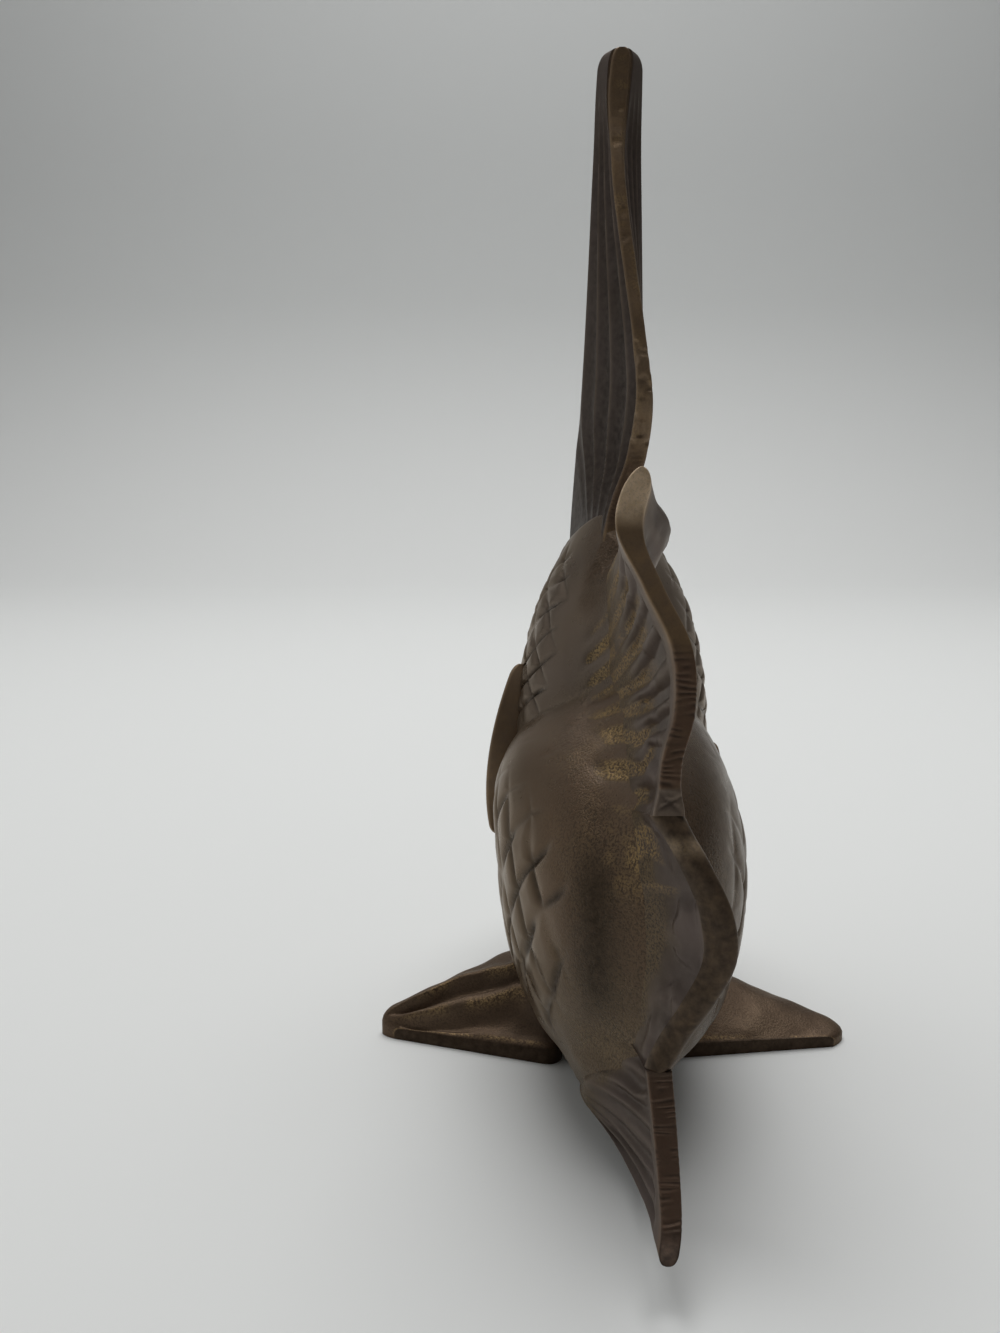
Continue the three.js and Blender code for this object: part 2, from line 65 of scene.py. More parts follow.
# Head: eye, gill cover and mouth
EYE_Y = 57
EYE_Z = 63
EYE_RADIUS = 4.6
EYE_HEIGHT = 1.6
SOCKET_GAP = 0.7
SOCKET_DEPTH = 0.6
PUPIL_SHARE = 0.45
PUPIL_DEPTH = 0.35
GILL_Y = 53
GILL_Z = 54
GILL_RADIUS = 17
GILL_RISE = 0.9
GILL_GROOVE_DEPTH = 0.6
MOUTH_Z = 51
MOUTH_CORNER_Y = (62, 67)
MOUTH_DEPTH = 0.9

# Median fin stations: turn in degrees from ahead over the back, reach from the body centre, sway right
DORSAL_LEADING = ((67.2, 62, 0), (75.1, 82, 0), (79.2, 96, 0), (83, 115, 0), (85.8, 137, 0), (87.3, 147, 0))
DORSAL_TRAILING = (
    (107.5, 49.2, 0), (103, 54, 0.1), (100.2, 61, 0.8), (99.2, 69, 3), (100.4, 80, 3.9),
    (98, 93, 2.6), (95, 103.5, 1.3), (91.4, 122, -0.8), (89, 137, -0.8), (88.7, 147, 0),
)
DORSAL_ROOT = (61, 112)
TAIL_UPPER_RIM = (
    (132.1, 91, -1.8), (137.1, 86, -4), (143.6, 83.3, -0.3), (150.6, 81.5, 4),
    (157.3, 79.1, 4.3), (162.5, 78.7, 2.3), (168.6, 77.9, 1.8),
)
TAIL_UPPER_ROOT = (104, 170)
TAIL_LOWER_RIM = (
    (168.6, 77.9, 1.8), (173.3, 80.6, 6), (179, 82, 9.9), (184, 82.3, 10.6), (189.1, 82, 7.8),
    (194.4, 81.5, 4), (198, 83, 1),
)
TAIL_LOWER_ROOT = (170, 206)
ANAL_RIM = ((198, 83, 1), (202, 89.5, 1.6), (206, 101.3, 1.7), (206.3, 106.5, 0.6))
ANAL_ROOT = (206, 240)
ROOT_DEPTH = 3.5
SWAY_EASE = 1.6
LEAST_HALF = 0.15

# Half thicknesses of the median fins
DORSAL_FRONT_HALF_BASE = 9.6
DORSAL_FRONT_HALF_TIP = 4.9
DORSAL_RIM_HALF = 2
DORSAL_WAIST = 0.7
DORSAL_FOOT_WIDENING = 2.2
DORSAL_EDGE_SHARE = 0.18
TAIL_ROOT_HALF = 4.0
TAIL_FLARE = 3.0
TAIL_UPPER_TIP_HALF = 2.1
TAIL_UPPER_RIM_HALF = 1.6
TAIL_UPPER_NUB = 0.8
TAIL_CURL = 5.0
TAIL_CURL_ALONG = 0.1
TAIL_CURL_OUT = 0.68
TAIL_LOWER_RIM_HALF = 1.9
TAIL_LOWER_NUB = 0.4
TAIL_LOWER_ROLL = 0.4
ANAL_ROOT_HALF_RIGHT = 8.0
ANAL_ROOT_HALF_LEFT = 18.0
ANAL_FLARE = 2.0
ANAL_RIM_HALVES = (2.0, 1.45)
ANAL_TUCK = 0.3

# Pectoral fins, laid back along the flanks: the left one fans up, the right one lies lower
PECTORAL_ROOT_Y = 42
PECTORAL_ROOT_LOW = 46
PECTORAL_ROOT_HIGH = 61
PECTORAL_TIP_ROUND = 6
PECTORAL_TIP_BOW = 62
PECTORAL_ROOT_HALF = 2.4
PECTORAL_TIP_HALF = 1.2
PECTORAL_RAYS = 7
PECTORAL_RAY_DEPTH = 0.45
PECTORAL_BURIED = 0.4
PECTORAL_BEVEL = 0.6
PECTORALS = dict(
    left=dict(tip_y=17, tip_low=41, tip_high=79, tip_out=25.8, out_z=52),
    right=dict(tip_y=24, tip_low=37, tip_high=60, tip_out=24.3, out_z=48),
)

# Pelvic fins, the two feet, with ridges as place from rear to front, height and width
FOOT_ROOT_X = 11
FOOT_TIP_X = 49.5
FOOT_FRONT_ROOT_Y = 33
FOOT_FRONT_TIP_Y = 14
FOOT_EDGE_ROOT_HEIGHT = 3.2
FOOT_EDGE_TIP_HEIGHT = 2.4
FOOT_FRONT_CURVE = 1.4
FOOT_TIP_CURVE = 3
FOOT_ROOT_CURVE = 5
FOOT_CREST_SHARE = 0.62
FOOT_LEAST_HEIGHT = 0.5
FOOT_UNEVENNESS = 0.3
FEET = dict(
    left=dict(rear_root_y=-3.4, rear_tip_y=8.4, crest_root=19.3, crest_tip=5),
    right=dict(rear_root_y=0, rear_tip_y=5, crest_root=14.3, crest_tip=2.6),
)
RIDGES = dict(left=((0.42, 1.6, 0.05), (0.2, 1.3, 0.06)), right=())

BODY_COLUMNS = 840
BODY_ROWS = 180
DORSAL_COLUMNS = 460
REAR_FIN_COLUMNS = 300
MEDIAN_FIN_ROWS = 110
PECTORAL_COLUMNS = 110
PECTORAL_ROWS = 80
FOOT_COLUMNS = 150
FOOT_ROWS = 130
RIM_STEPS = 16

# The fish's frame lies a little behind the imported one, as the front edge of a foot shows
FRAME_SHIFT = np.array((0.0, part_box("pelvic_fin_left")[1].y / MM - FOOT_FRONT_ROOT_Y, 0.0))


# Small tools

def smoothstep(low, high, value):
    t = np.clip((value - low) / (high - low), 0, 1)
    return t * t * (3 - 2 * t)


def between(value, start, full, fading, end):
    """1 from full to fading, and easing to 0 at start and end."""
    return smoothstep(start, full, value) * smoothstep(end, fading, value)


def lerp(start, end, share):
    return start + (end - start) * share


def unit(vectors):
    return vectors / np.maximum(np.linalg.norm(vectors, axis=-1, keepdims=True), 1e-9)


def bump(distance, width):
    return np.exp(-(distance / width) ** 2)


def scallops(phase):
    """Hollows between sharp ridges that stand at whole numbers, from 0 on a ridge to 1 in a hollow."""
    return np.abs(np.sin(math.pi * phase))


def rounded_end(distance, reach):
    """From 0 at an end to 1 at reach from it, like a quarter circle."""
    short = 1 - np.clip(distance / reach, 0, 1)
    return np.sqrt(1 - short ** 2)


def count(number):
    return 2 * round(number * FINENESS / 2)


LATTICE = 32
LATTICE_VALUES = np.random.default_rng(7).uniform(-1, 1, (LATTICE, LATTICE, LATTICE))


def lumps(points, size, offset=0.0):
    """Smooth random values from -1 to 1 whose bumps measure about size."""
    place = points / size + offset
    cell = np.floor(place).astype(int)
    share = smoothstep(0, 1, place - cell)
    total = 0
    for corner in np.ndindex(2, 2, 2):
        at = (cell + corner) % LATTICE
        weight = np.prod(np.where(np.array(corner) == 1, share, 1 - share), axis=-1)
        total = total + weight * LATTICE_VALUES[at[..., 0], at[..., 1], at[..., 2]]
    return total


CURVE_STEPS = 40


def smooth_path(points, shares):
    """Points at shares of the length of a smooth curve through the given points."""
    padded = np.vstack((2 * points[0] - points[1], points, 2 * points[-1] - points[-2]))
    steps = np.linspace(0, 1, CURVE_STEPS, endpoint=False)[:, None]
    dense = []
    for p0, p1, p2, p3 in zip(padded[:-3], padded[1:-2], padded[2:-1], padded[3:]):
        d0, d1, d2 = (math.sqrt(np.linalg.norm(b - a)) for a, b in ((p0, p1), (p1, p2), (p2, p3)))
        leave = ((p1 - p0) / d0 - (p2 - p0) / (d0 + d1) + (p2 - p1) / d1) * d1
        arrive = ((p2 - p1) / d1 - (p3 - p1) / (d1 + d2) + (p3 - p2) / d2) * d1
        square = -3 * p1 + 3 * p2 - 2 * leave - arrive
        cube = 2 * p1 - 2 * p2 + leave + arrive
        dense.append(p1 + leave * steps + square * steps ** 2 + cube * steps ** 3)
    dense = np.vstack((*dense, points[-1:]))
    lengths = np.concatenate(([0], np.cumsum(np.linalg.norm(np.diff(dense, axis=0), axis=1))))
    wanted = np.asarray(shares) * lengths[-1]
    return np.stack([np.interp(wanted, lengths, dense[:, axis]) for axis in range(3)], axis=-1)


# The body's skin

def lobe_field(points):
    """Below 0 inside the melted lobes, above 0 outside."""
    total = 0
    for lobe in LOBES:
        dy = points[..., 1] - lobe["y"]
        dz = points[..., 2] - lobe["z"]
        across = np.abs(points[..., 0]) / lobe["wide"]
        along = np.abs(dy) / np.where(dy < 0, lobe["rear"], lobe["front"])
        upright = np.abs(dz) / np.where(dz < 0, lobe["down"], lobe["up"])
        power = lobe["square"]
        size = (across ** power + along ** power + upright ** power) ** (1 / power)
        total = total + np.exp((1 - size) / CREASE_SOFTNESS)
    return -CREASE_SOFTNESS * np.log(total)


def skin_normal(points):
    slopes = []
    for step in SLOPE_STEP * np.eye(3):
        slopes.append(lobe_field(points + step) - lobe_field(points - step))
    return unit(np.stack(slopes, axis=-1))


def skin_reach(start, directions):
    """How far the skin lies from a start inside, along each direction."""
    inside = np.zeros(directions.shape[:-1])
    outside = np.full(directions.shape[:-1], SKIN_REACH)
    for _ in range(SKIN_HALVINGS):
        middle = (inside + outside) / 2
        out = lobe_field(start + directions * middle[..., None]) > 0
        outside = np.where(out, middle, outside)
        inside = np.where(out, inside, middle)
    return inside


def median_direction(turns):
    angles = np.radians(turns)
    return np.stack((np.zeros_like(angles), np.cos(angles), np.sin(angles)), axis=-1)


def median_points(stations):
    turns, reaches, sways = np.array(stations, float).T
    points = BODY_CENTRE + median_direction(turns) * reaches[:, None]
    points[:, 0] = sways
    return points


def median_roots(turns):
    """Points on the middle plane where the fins start, a little under the skin."""
    directions = median_direction(np.asarray(turns, float))
    return BODY_CENTRE + directions * (skin_reach(BODY_CENTRE, directions) - ROOT_DEPTH)[..., None]


def flank(y, z):
    """How far the flank stands from the middle plane."""
    start = np.stack(np.broadcast_arrays(0.0, y, z), axis=-1).astype(float)
    return skin_reach(start, np.broadcast_to((1.0, 0.0, 0.0), start.shape))


# Meshes

SHARP_EDGE = math.radians(50)


def ring_faces(rows, around):
    """Faces that join rings to a closed skin, with flat ends."""
    number = np.arange(rows * around).reshape(rows, around)
    ahead = np.roll(number, -1, axis=1)
    sides = np.stack((number[:-1], ahead[:-1], ahead[1:], number[1:]), axis=-1).reshape(-1, 4)
    half = around // 2
    ends = []
    for ring, step in ((number[0], 1), (number[-1], -1)):
        out = ring[:half]
        back = ring[:half - 1:-1]
        ends.append(np.stack((out[:-1], back[:-1], back[1:], out[1:]), axis=-1)[:, ::step])
    return np.vstack((sides, *ends))


def turned_outwards(faces, points):
    corners = points[faces]
    doubled_area = np.cross(corners[:, 2] - corners[:, 0], corners[:, 3] - corners[:, 1])
    if np.sum((corners.mean(axis=1) - points.mean(axis=0)) * doubled_area) < 0:
        return faces[:, ::-1]
    return faces


def lofted_piece(node, rings, masks, material):
    """A closed piece through rings of points, which stands for one CAD node."""
    rows, around = rings.shape[:2]
    points = rings.reshape(-1, 3)
    faces = turned_outwards(ring_faces(rows, around), points)
    mesh = bpy.data.meshes.new(node)
    mesh.from_pydata(((points + FRAME_SHIFT) * MM).tolist(), [], faces.tolist())
    mesh.polygons.foreach_set("use_smooth", np.ones(len(mesh.polygons), bool))
    mesh.set_sharp_from_angle(angle=SHARP_EDGE)
    for name, values in masks.items():
        attribute = mesh.attributes.new(name, "FLOAT", "POINT")
        full = np.broadcast_to(np.clip(values, 0, 1), (rows, around))
        attribute.data.foreach_set("value", full.astype(np.float32).ravel())
    mesh.materials.append(material)
    mesh.update()
    piece = bpy.data.objects.new("visual_" + node, mesh)
    bpy.context.scene.collection.objects.link(piece)
    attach(piece, "root")
    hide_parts(node)
    return piece


# Shader tools for one node tree

MIX_FIRST = 6
MIX_SECOND = 7
MIX_RESULT = 2


def feed(tree, socket, value):
    """Link an output to a socket, or set a constant on it."""
    if isinstance(value, bpy.types.NodeSocket):
        tree.links.new(value, socket)
    else:
        socket.default_value = value


def noise(tree, scale, detail, rough=0.55):
    node = tree.nodes.new("ShaderNodeTexNoise")
    node.inputs["Scale"].default_value = scale
    node.inputs["Detail"].default_value = detail
    node.inputs["Roughness"].default_value = rough
    feed(tree, node.inputs["Vector"], tree.nodes.new("ShaderNodeTexCoord").outputs["Object"])
    return node.outputs["Fac"]


def mask(tree, attribute):
    node = tree.nodes.new("ShaderNodeAttribute")
    node.attribute_name = attribute
    return node.outputs["Fac"]


def spread(tree, value, low, high, to_low=0.0, to_high=1.0, easing="LINEAR"):
    """A value whose range from low to high is spread over another range."""
    node = tree.nodes.new("ShaderNodeMapRange")
    node.interpolation_type = easing
    node.inputs["From Min"].default_value = low
    node.inputs["From Max"].default_value = high
    node.inputs["To Min"].default_value = to_low
    node.inputs["To Max"].default_value = to_high
    feed(tree, node.inputs["Value"], value)
    return node.outputs["Result"]


def combined(tree, operation, first, second):
    node = tree.nodes.new("ShaderNodeMath")
    node.operation = operation
    feed(tree, node.inputs[0], first)
    feed(tree, node.inputs[1], second)
    return node.outputs["Value"]


def mixed(tree, share, first, second):
    """A mix of two colours, each a tuple or the output of a node."""
    node = tree.nodes.new("ShaderNodeMix")
    node.data_type = "RGBA"
    feed(tree, node.inputs["Factor"], share)
    for socket, colour in ((MIX_FIRST, first), (MIX_SECOND, second)):
        feed(tree, node.inputs[socket], (*colour, 1) if isinstance(colour, tuple) else colour)
    return node.outputs[MIX_RESULT]


def patchy(tree, attribute, scale, least):
    """A mask broken up by noise."""
    breaks = spread(tree, noise(tree, scale, 3), 0.3, 0.7, least, 1.0)
    return combined(tree, "MULTIPLY", mask(tree, attribute), breaks)


# Materials

HIGHLIGHT_TINT = (0.86, 0.77, 0.67, 1)
SPECKLE_SCALE = 2400
SPECKLE_STRENGTH = 0.6
SPECKLE_HEIGHT = 0.35
SPECKLE_LEAST = 0.12
CREVICE_SHADE = 0.3
ROUGHNESS_SPREAD = 0.06


def patina(name, base, cloudy, rooted, wear_and_highlight, gold, ground, filed, roughness):
    """Cast brass under a dark satin patina.

    Masks on the meshes: rooted for the foot of a fin, and on the body for the rays that run on from the tail
    and a paler grey-brown higher up; a pale mask for rubbed spots and for painted highlights; gold for
    rubbed grains and for painted highlights along the feet's ridges; ground for smooth rims, filed for filed
    rims;
    dark for painted shade in hollows, creases and on shaded sides, and for file marks, cuts, grooves,
    blotches and darker rims; grain for rough casting skin.
    """
    material = bpy.data.materials.new(name)
    material.use_nodes = True
    tree = material.node_tree
    sockets = tree.nodes["Principled BSDF"].inputs
    speckle = noise(tree, SPECKLE_SCALE, 3, 0.7)
    dark = tuple(CREVICE_SHADE * part for part in base)
    # The pale mask holds rubbed wear and painted highlights.
    pale_wear_and_highlight = patchy(tree, "wear_and_highlight", 350, 0.5)
    # The dark mask holds painted shade in hollows, creases and on shaded sides, besides file marks and
    # darker rims.
    shade_and_dark_marks = patchy(tree, "dark", 700, 0.6)
    pits = combined(tree, "MULTIPLY", mask(tree, "grain"), spread(tree, speckle, 0.52, 0.40, 0.0, 0.6))
    # The gold mask holds rubbed brass, and on the feet a painted highlight too.
    rubbed = combined(tree, "MULTIPLY", mask(tree, "gold"), spread(tree, speckle, 0.44, 0.58))
    colour = mixed(tree, spread(tree, noise(tree, 55, 4), 0.35, 0.65), base, cloudy)
    for share, laid_on in (
        (patchy(tree, "rooted", 90, 0.5), rooted),
        (patchy(tree, "ground", 420, 0.65), ground),
        (patchy(tree, "filed", 600, 0.7), filed),
        (pale_wear_and_highlight, wear_and_highlight),
        (shade_and_dark_marks, dark),
        (pits, dark),
        (rubbed, gold),
    ):
        colour = mixed(tree, share, colour, laid_on)
    feed(tree, sockets["Base Color"], colour)
    feed(tree, sockets["Specular Tint"], HIGHLIGHT_TINT)
    # Painted shade, pale wear and painted highlights dull the metal, and painted shade also weakens its
    # gloss.
    dull = combined(tree, "MAXIMUM", shade_and_dark_marks, pale_wear_and_highlight)
    feed(tree, sockets["Metallic"], spread(tree, dull, 0.0, 0.9, 0.6, 0.15))
    feed(tree, sockets["Specular IOR Level"], spread(tree, shade_and_dark_marks, 0.0, 0.9, 0.5, 0.1))
    smoothest = roughness - ROUGHNESS_SPREAD
    roughest = roughness + ROUGHNESS_SPREAD
    feed(tree, sockets["Roughness"], spread(tree, noise(tree, 180, 4), 0.3, 0.7, smoothest, roughest))

    grain = combined(tree, "MAXIMUM", mask(tree, "grain"), SPECKLE_LEAST)
    relief = tree.nodes.new("ShaderNodeBump")
    relief.inputs["Strength"].default_value = SPECKLE_STRENGTH
    relief.inputs["Distance"].default_value = SPECKLE_HEIGHT * MM
    feed(tree, relief.inputs["Height"], combined(tree, "MULTIPLY", speckle, grain))
    feed(tree, sockets["Normal"], relief.outputs["Normal"])
    return material


body_patina = patina(
    "body_patina",
    base=(0.102, 0.071, 0.043),
    cloudy=(0.132, 0.096, 0.064),
    rooted=(0.140, 0.111, 0.092),
    wear_and_highlight=(0.20, 0.15, 0.10),
    gold=(0.32, 0.215, 0.09),
    ground=(0.115, 0.068, 0.040),
    filed=(0.06, 0.035, 0.022),
    roughness=0.31,
)
fin_patina = patina(
    "fin_patina",
    base=(0.085, 0.063, 0.051),
    cloudy=(0.110, 0.085, 0.076),
    rooted=(0.100, 0.073, 0.046),
    wear_and_highlight=(0.85, 0.65, 0.45),
    gold=(0.30, 0.20, 0.085),
    ground=(0.20, 0.130, 0.070),
    filed=(0.125, 0.075, 0.050),
    roughness=0.42,
)
foot_patina = patina(
    "foot_patina",
    base=(0.095, 0.060, 0.038),
    cloudy=(0.12, 0.080, 0.050),
    rooted=(0.095, 0.064, 0.040),
    wear_and_highlight=(0.20, 0.15, 0.10),
    gold=(0.34, 0.23, 0.11),
    ground=(0.10, 0.065, 0.04),
    filed=(0.05, 0.03, 0.02),
    roughness=0.44,
)


# Median fins as sheets: u runs along the rim, v from the root out to the rim

def rear_sheet(root_turns, rim_points, u, v):
    near = median_roots(lerp(*root_turns, u))[:, None]
    far = smooth_path(rim_points, u)[:, None]
    points = lerp(near, far, v[..., None])
    points[..., 0] = far[..., 0] * v ** SWAY_EASE
    return points


def dorsal_edges(u):
    leading = np.vstack((median_roots(DORSAL_ROOT[:1]), median_points(DORSAL_LEADING)))
    trailing = np.vstack((median_roots(DORSAL_ROOT[1:]), median_points(DORSAL_TRAILING)))
    return smooth_path(leading, u), smooth_path(trailing, u)


def dorsal_sheet(u, v):
    """The dorsal fin starts at its leading edge, so its v runs from front to rear."""
    leading, trailing = (edge[:, None] for edge in dorsal_edges(u))
    points = lerp(leading, trailing, v[..., None])
    points[..., 0] = trailing[..., 0] * v ** SWAY_EASE
    return points


# Half thicknesses of the median fins without their rays, face by face

def dorsal_wedge(u, v):
    front = lerp(DORSAL_FRONT_HALF_BASE, DORSAL_FRONT_HALF_TIP, u)
    rim_half = DORSAL_RIM_HALF - DORSAL_WAIST * between(u, 0.24, 0.5, 0.8, 0.95)
    rim_half = rim_half + DORSAL_FOOT_WIDENING * smoothstep(0.25, 0.05, u)
    return lerp(front, rim_half, v) * rounded_end(v, DORSAL_EDGE_SHARE)


def flared(rim_half, root_half, flare, v):
    """Half the thickness of a fin that widens towards its root."""
    return rim_half + (root_half - rim_half) * (1 - v) ** flare


def tail_upper_thickness(u, v, face):
    rim_half = lerp(TAIL_UPPER_TIP_HALF, TAIL_UPPER_RIM_HALF, smoothstep(0.1, 0.35, u))
    curl = TAIL_CURL * bump(u - TAIL_CURL_ALONG, 0.12) * bump(v - TAIL_CURL_OUT, 0.2) * (face > 0)
    nub = TAIL_UPPER_NUB * bump(u - 1, 0.05) * smoothstep(0.5, 0.9, v)
    return (flared(rim_half, TAIL_ROOT_HALF, TAIL_FLARE, v) + curl) * rounded_end(u, 0.08) + nub


def tail_lower_thickness(u, v, face):
    nub = TAIL_LOWER_NUB * bump(u, 0.06) * smoothstep(0.5, 0.9, v)
    roll = TAIL_LOWER_ROLL * smoothstep(0.82, 0.95, v)
    plain = flared(TAIL_LOWER_RIM_HALF, TAIL_ROOT_HALF, TAIL_FLARE, v)
    return plain + (roll + nub) * rounded_end(1 - u, 0.07)


def anal_thickness(u, v, face):
    """It starts flush with the lower tail, and flares and tucks in further on."""
    widest = np.where(face < 0, ANAL_ROOT_HALF_LEFT, ANAL_ROOT_HALF_RIGHT)
    root_half = lerp(TAIL_ROOT_HALF, widest, smoothstep(0, 0.45, u))
    tuck = lerp(lerp(1, ANAL_TUCK, smoothstep(0, 0.3, u)), 1, smoothstep(0, 0.35, v))
    flare = lerp(TAIL_FLARE, ANAL_FLARE, smoothstep(0, 0.3, u))
    plain = flared(lerp(*ANAL_RIM_HALVES, u), root_half, flare, v)
    return plain * tuck * lerp(0.4, 1, rounded_end(1 - u, 0.06))


# Hollows in the faces of the rear fins

TAIL_RAYS = 9.5
TAIL_RAY_DEPTH = 1.7
RAY_SLANT = 0.07
RAY_WANDER = 0.3


def fin_valleys(rays, u, v):
    """Hollows between the soft rays of a rear fin, from 0 on a ray to 1 in a hollow."""
    wander = RAY_WANDER * lumps(np.stack((u, v, u), axis=-1), 0.21)
    return 0.5 - 0.5 * np.cos(2 * math.pi * (rays * (u + RAY_SLANT * v) + wander))


def fin_inside(v):
    """Where the faces of a rear fin are hollowed, between its root and its rim."""
    return between(v, 0.2, 0.55, 0.84, 0.93)


# Blends: the body rises in a round fillet to meet each median fin

BLEND_HEIGHTS = np.linspace(0, 9, 10)
BLEND_TOP = 0.94
BLEND_UNDERCUT = 0.9
BLEND_ROUNDS = 10
BLEND_END_TAPER = 0.5
BLEND_FRONT_SHARE = 0.55
BLEND_FRONT_TURNS = (84, 98)
BLEND_MELT = 4


def blend(points, half_left, half_right, radius):
    """A fillet along a fin, given as columns of points that rise from its root."""
    _, y, z = np.moveaxis(points - BODY_CENTRE, -1, 0)
    turns = np.degrees(np.arctan2(z, y)) % 360
    heights = np.hypot(y, z) - skin_reach(BODY_CENTRE, median_direction(turns))
    levels = dict(turn=turns, left=points[..., 0] - half_left, right=points[..., 0] + half_right)
    for name, values in levels.items():
        columns = zip(heights, values)
        levels[name] = np.array([np.interp(BLEND_HEIGHTS, height, value) for height, value in columns]).T
    return dict(levels=levels, radius=radius)


def dorsal_blend(radius):
    u, v = np.meshgrid(np.linspace(0, 0.25, 40), np.linspace(0, 1, 40), indexing="ij")
    points = np.swapaxes(dorsal_sheet(u[:, 0], v), 0, 1)
    half = dorsal_wedge(u, v).T
    return blend(points, half, half, radius)


def rear_blend(root_turns, rim_stations, thickness, hollowed, radius):
    u, v = np.meshgrid(np.linspace(0, 1, 60), np.linspace(0, 0.8, 40), indexing="ij")
    points = rear_sheet(root_turns, median_points(rim_stations), u[:, 0], v)
    left, right = (thickness(u, v, np.full(u.shape, face)) - hollowed * fin_inside(v) for face in (-1, 1))
    return blend(points, left, right, radius)


def blend_rise(fin, turns, x):
    """How far the body rises to meet a fin. turns are given per column of x."""
    levels = fin["levels"]
    lefts = np.array([np.interp(turns, *row) for row in zip(levels["turn"], levels["left"])])
    rights = np.array([np.interp(turns, *row) for row in zip(levels["turn"], levels["right"])])
    starts = levels["turn"][:, :1]
    ends = levels["turn"][:, -1:]
    pasts = BLEND_END_TAPER * np.maximum(np.maximum(starts - turns, turns - ends), 0)
    top = BLEND_TOP * lerp(BLEND_FRONT_SHARE, 1, smoothstep(*BLEND_FRONT_TURNS, turns))
    column = np.arange(len(turns))

    def at_level(table, level):
        below = level.astype(int)
        return lerp(table[below, column], table[below + 1, column], level - below)

    rise = np.zeros(x.shape)
    for _ in range(BLEND_ROUNDS):
        level = np.clip(rise / BLEND_HEIGHTS[1], 0, len(BLEND_HEIGHTS) - 1.001)
        aside = np.maximum(at_level(lefts, level) - x, x - at_level(rights, level))
        gap = aside + at_level(pasts, level) + BLEND_UNDERCUT
        near = np.clip(1 - gap / fin["radius"], 0, top)
        rise = (rise + fin["radius"] * (1 - np.sqrt(1 - near ** 2))) / 2
    return rise


BLENDS = (
    dorsal_blend(radius=7.0),
    rear_blend(TAIL_UPPER_ROOT, TAIL_UPPER_RIM, tail_upper_thickness, hollowed=1.0, radius=8.0),
    rear_blend(TAIL_LOWER_ROOT, TAIL_LOWER_RIM, tail_lower_thickness, hollowed=0.4, radius=6.5),
    rear_blend(ANAL_ROOT, ANAL_RIM, anal_thickness, hollowed=0.6, radius=7.0),
)


# Relief on the body: scales, head, shoulder and the rays that run on from the tail

SCALE_LENGTH = 10.5
SCALE_HEIGHT_LOW = 15.0
SCALE_HEIGHT_HIGH = 7.0
SCALE_SHRINK_Z = 60.0
SCALE_GROOVE = 0.95
SCALE_GROOVE_WIDTH = 0.7
SCALE_SECOND_SHARE = 0.6
SCALE_STEP = 0.42
SCALE_WANDER = 1.5
SCALE_STEEPNESS = (0.76, 0.94)
SMOOTH_SHOULDER_Z = 65.0
SMOOTH_SHOULDER_Y = (20, 8)
SHOULDER_RISE = 2.9
SHOULDER_Z = 60
SHOULDER_HEIGHT = 12
SHOULDER_LENGTH = 18
SHOULDER_X = (-12, -19)
BODY_RAY_DEPTH = 0.55
BODY_RAY_OUT = 0.15
BODY_RAY_ASIDE = (9, 5)
BODY_UNEVENNESS = 0.25


def beyond_gill(points):
    return np.hypot(points[..., 1] - GILL_Y, points[..., 2] - GILL_Z) - GILL_RADIUS


def scales(points, normals):
    """Overlapping pointed scales on the flanks: relief, and the painted shade in their grooves."""
    y = points[..., 1] + SCALE_WANDER * lumps(points, 12)
    z = points[..., 2] + SCALE_WANDER * lumps(points, 12, 9.3)
    climb = z / SCALE_HEIGHT_LOW
    climb = climb + np.maximum(z - SCALE_SHRINK_Z, 0) * (1 / SCALE_HEIGHT_HIGH - 1 / SCALE_HEIGHT_LOW)
    first = (y / SCALE_LENGTH + climb) % 1
    second = (y / SCALE_LENGTH - climb) % 1
    spacing = 1 / math.hypot(1 / SCALE_LENGTH, 1 / SCALE_HEIGHT_LOW)
    to_first = np.minimum(first, 1 - first) * spacing
    to_second = np.minimum(second, 1 - second) * spacing
    second_groove = SCALE_SECOND_SHARE * bump(to_second, SCALE_GROOVE_WIDTH)
    groove = np.maximum(bump(to_first, SCALE_GROOVE_WIDTH), second_groove)
    groove = groove * smoothstep(-0.7, 0.3, lumps(points, 6, 2.7))
    crown = smoothstep(0, 3, np.minimum(to_first, to_second)) * (1.2 - 0.4 * first - 0.4 * second)
    steepness = np.abs(normals[..., 0]) + 0.10 * lumps(points, 9, 5.5)
    share = smoothstep(*SCALE_STEEPNESS, steepness) * smoothstep(0, 2, beyond_gill(points))
    share = share * smoothstep(GILL_Y + 6, GILL_Y - 4, points[..., 1])
    smooth = bump(points[..., 2] - SMOOTH_SHOULDER_Z, 7) * smoothstep(*SMOOTH_SHOULDER_Y, points[..., 1])
    share = share * (1 - smooth)
    return share * (SCALE_STEP * (crown - 0.4) - SCALE_GROOVE * groove), share * groove


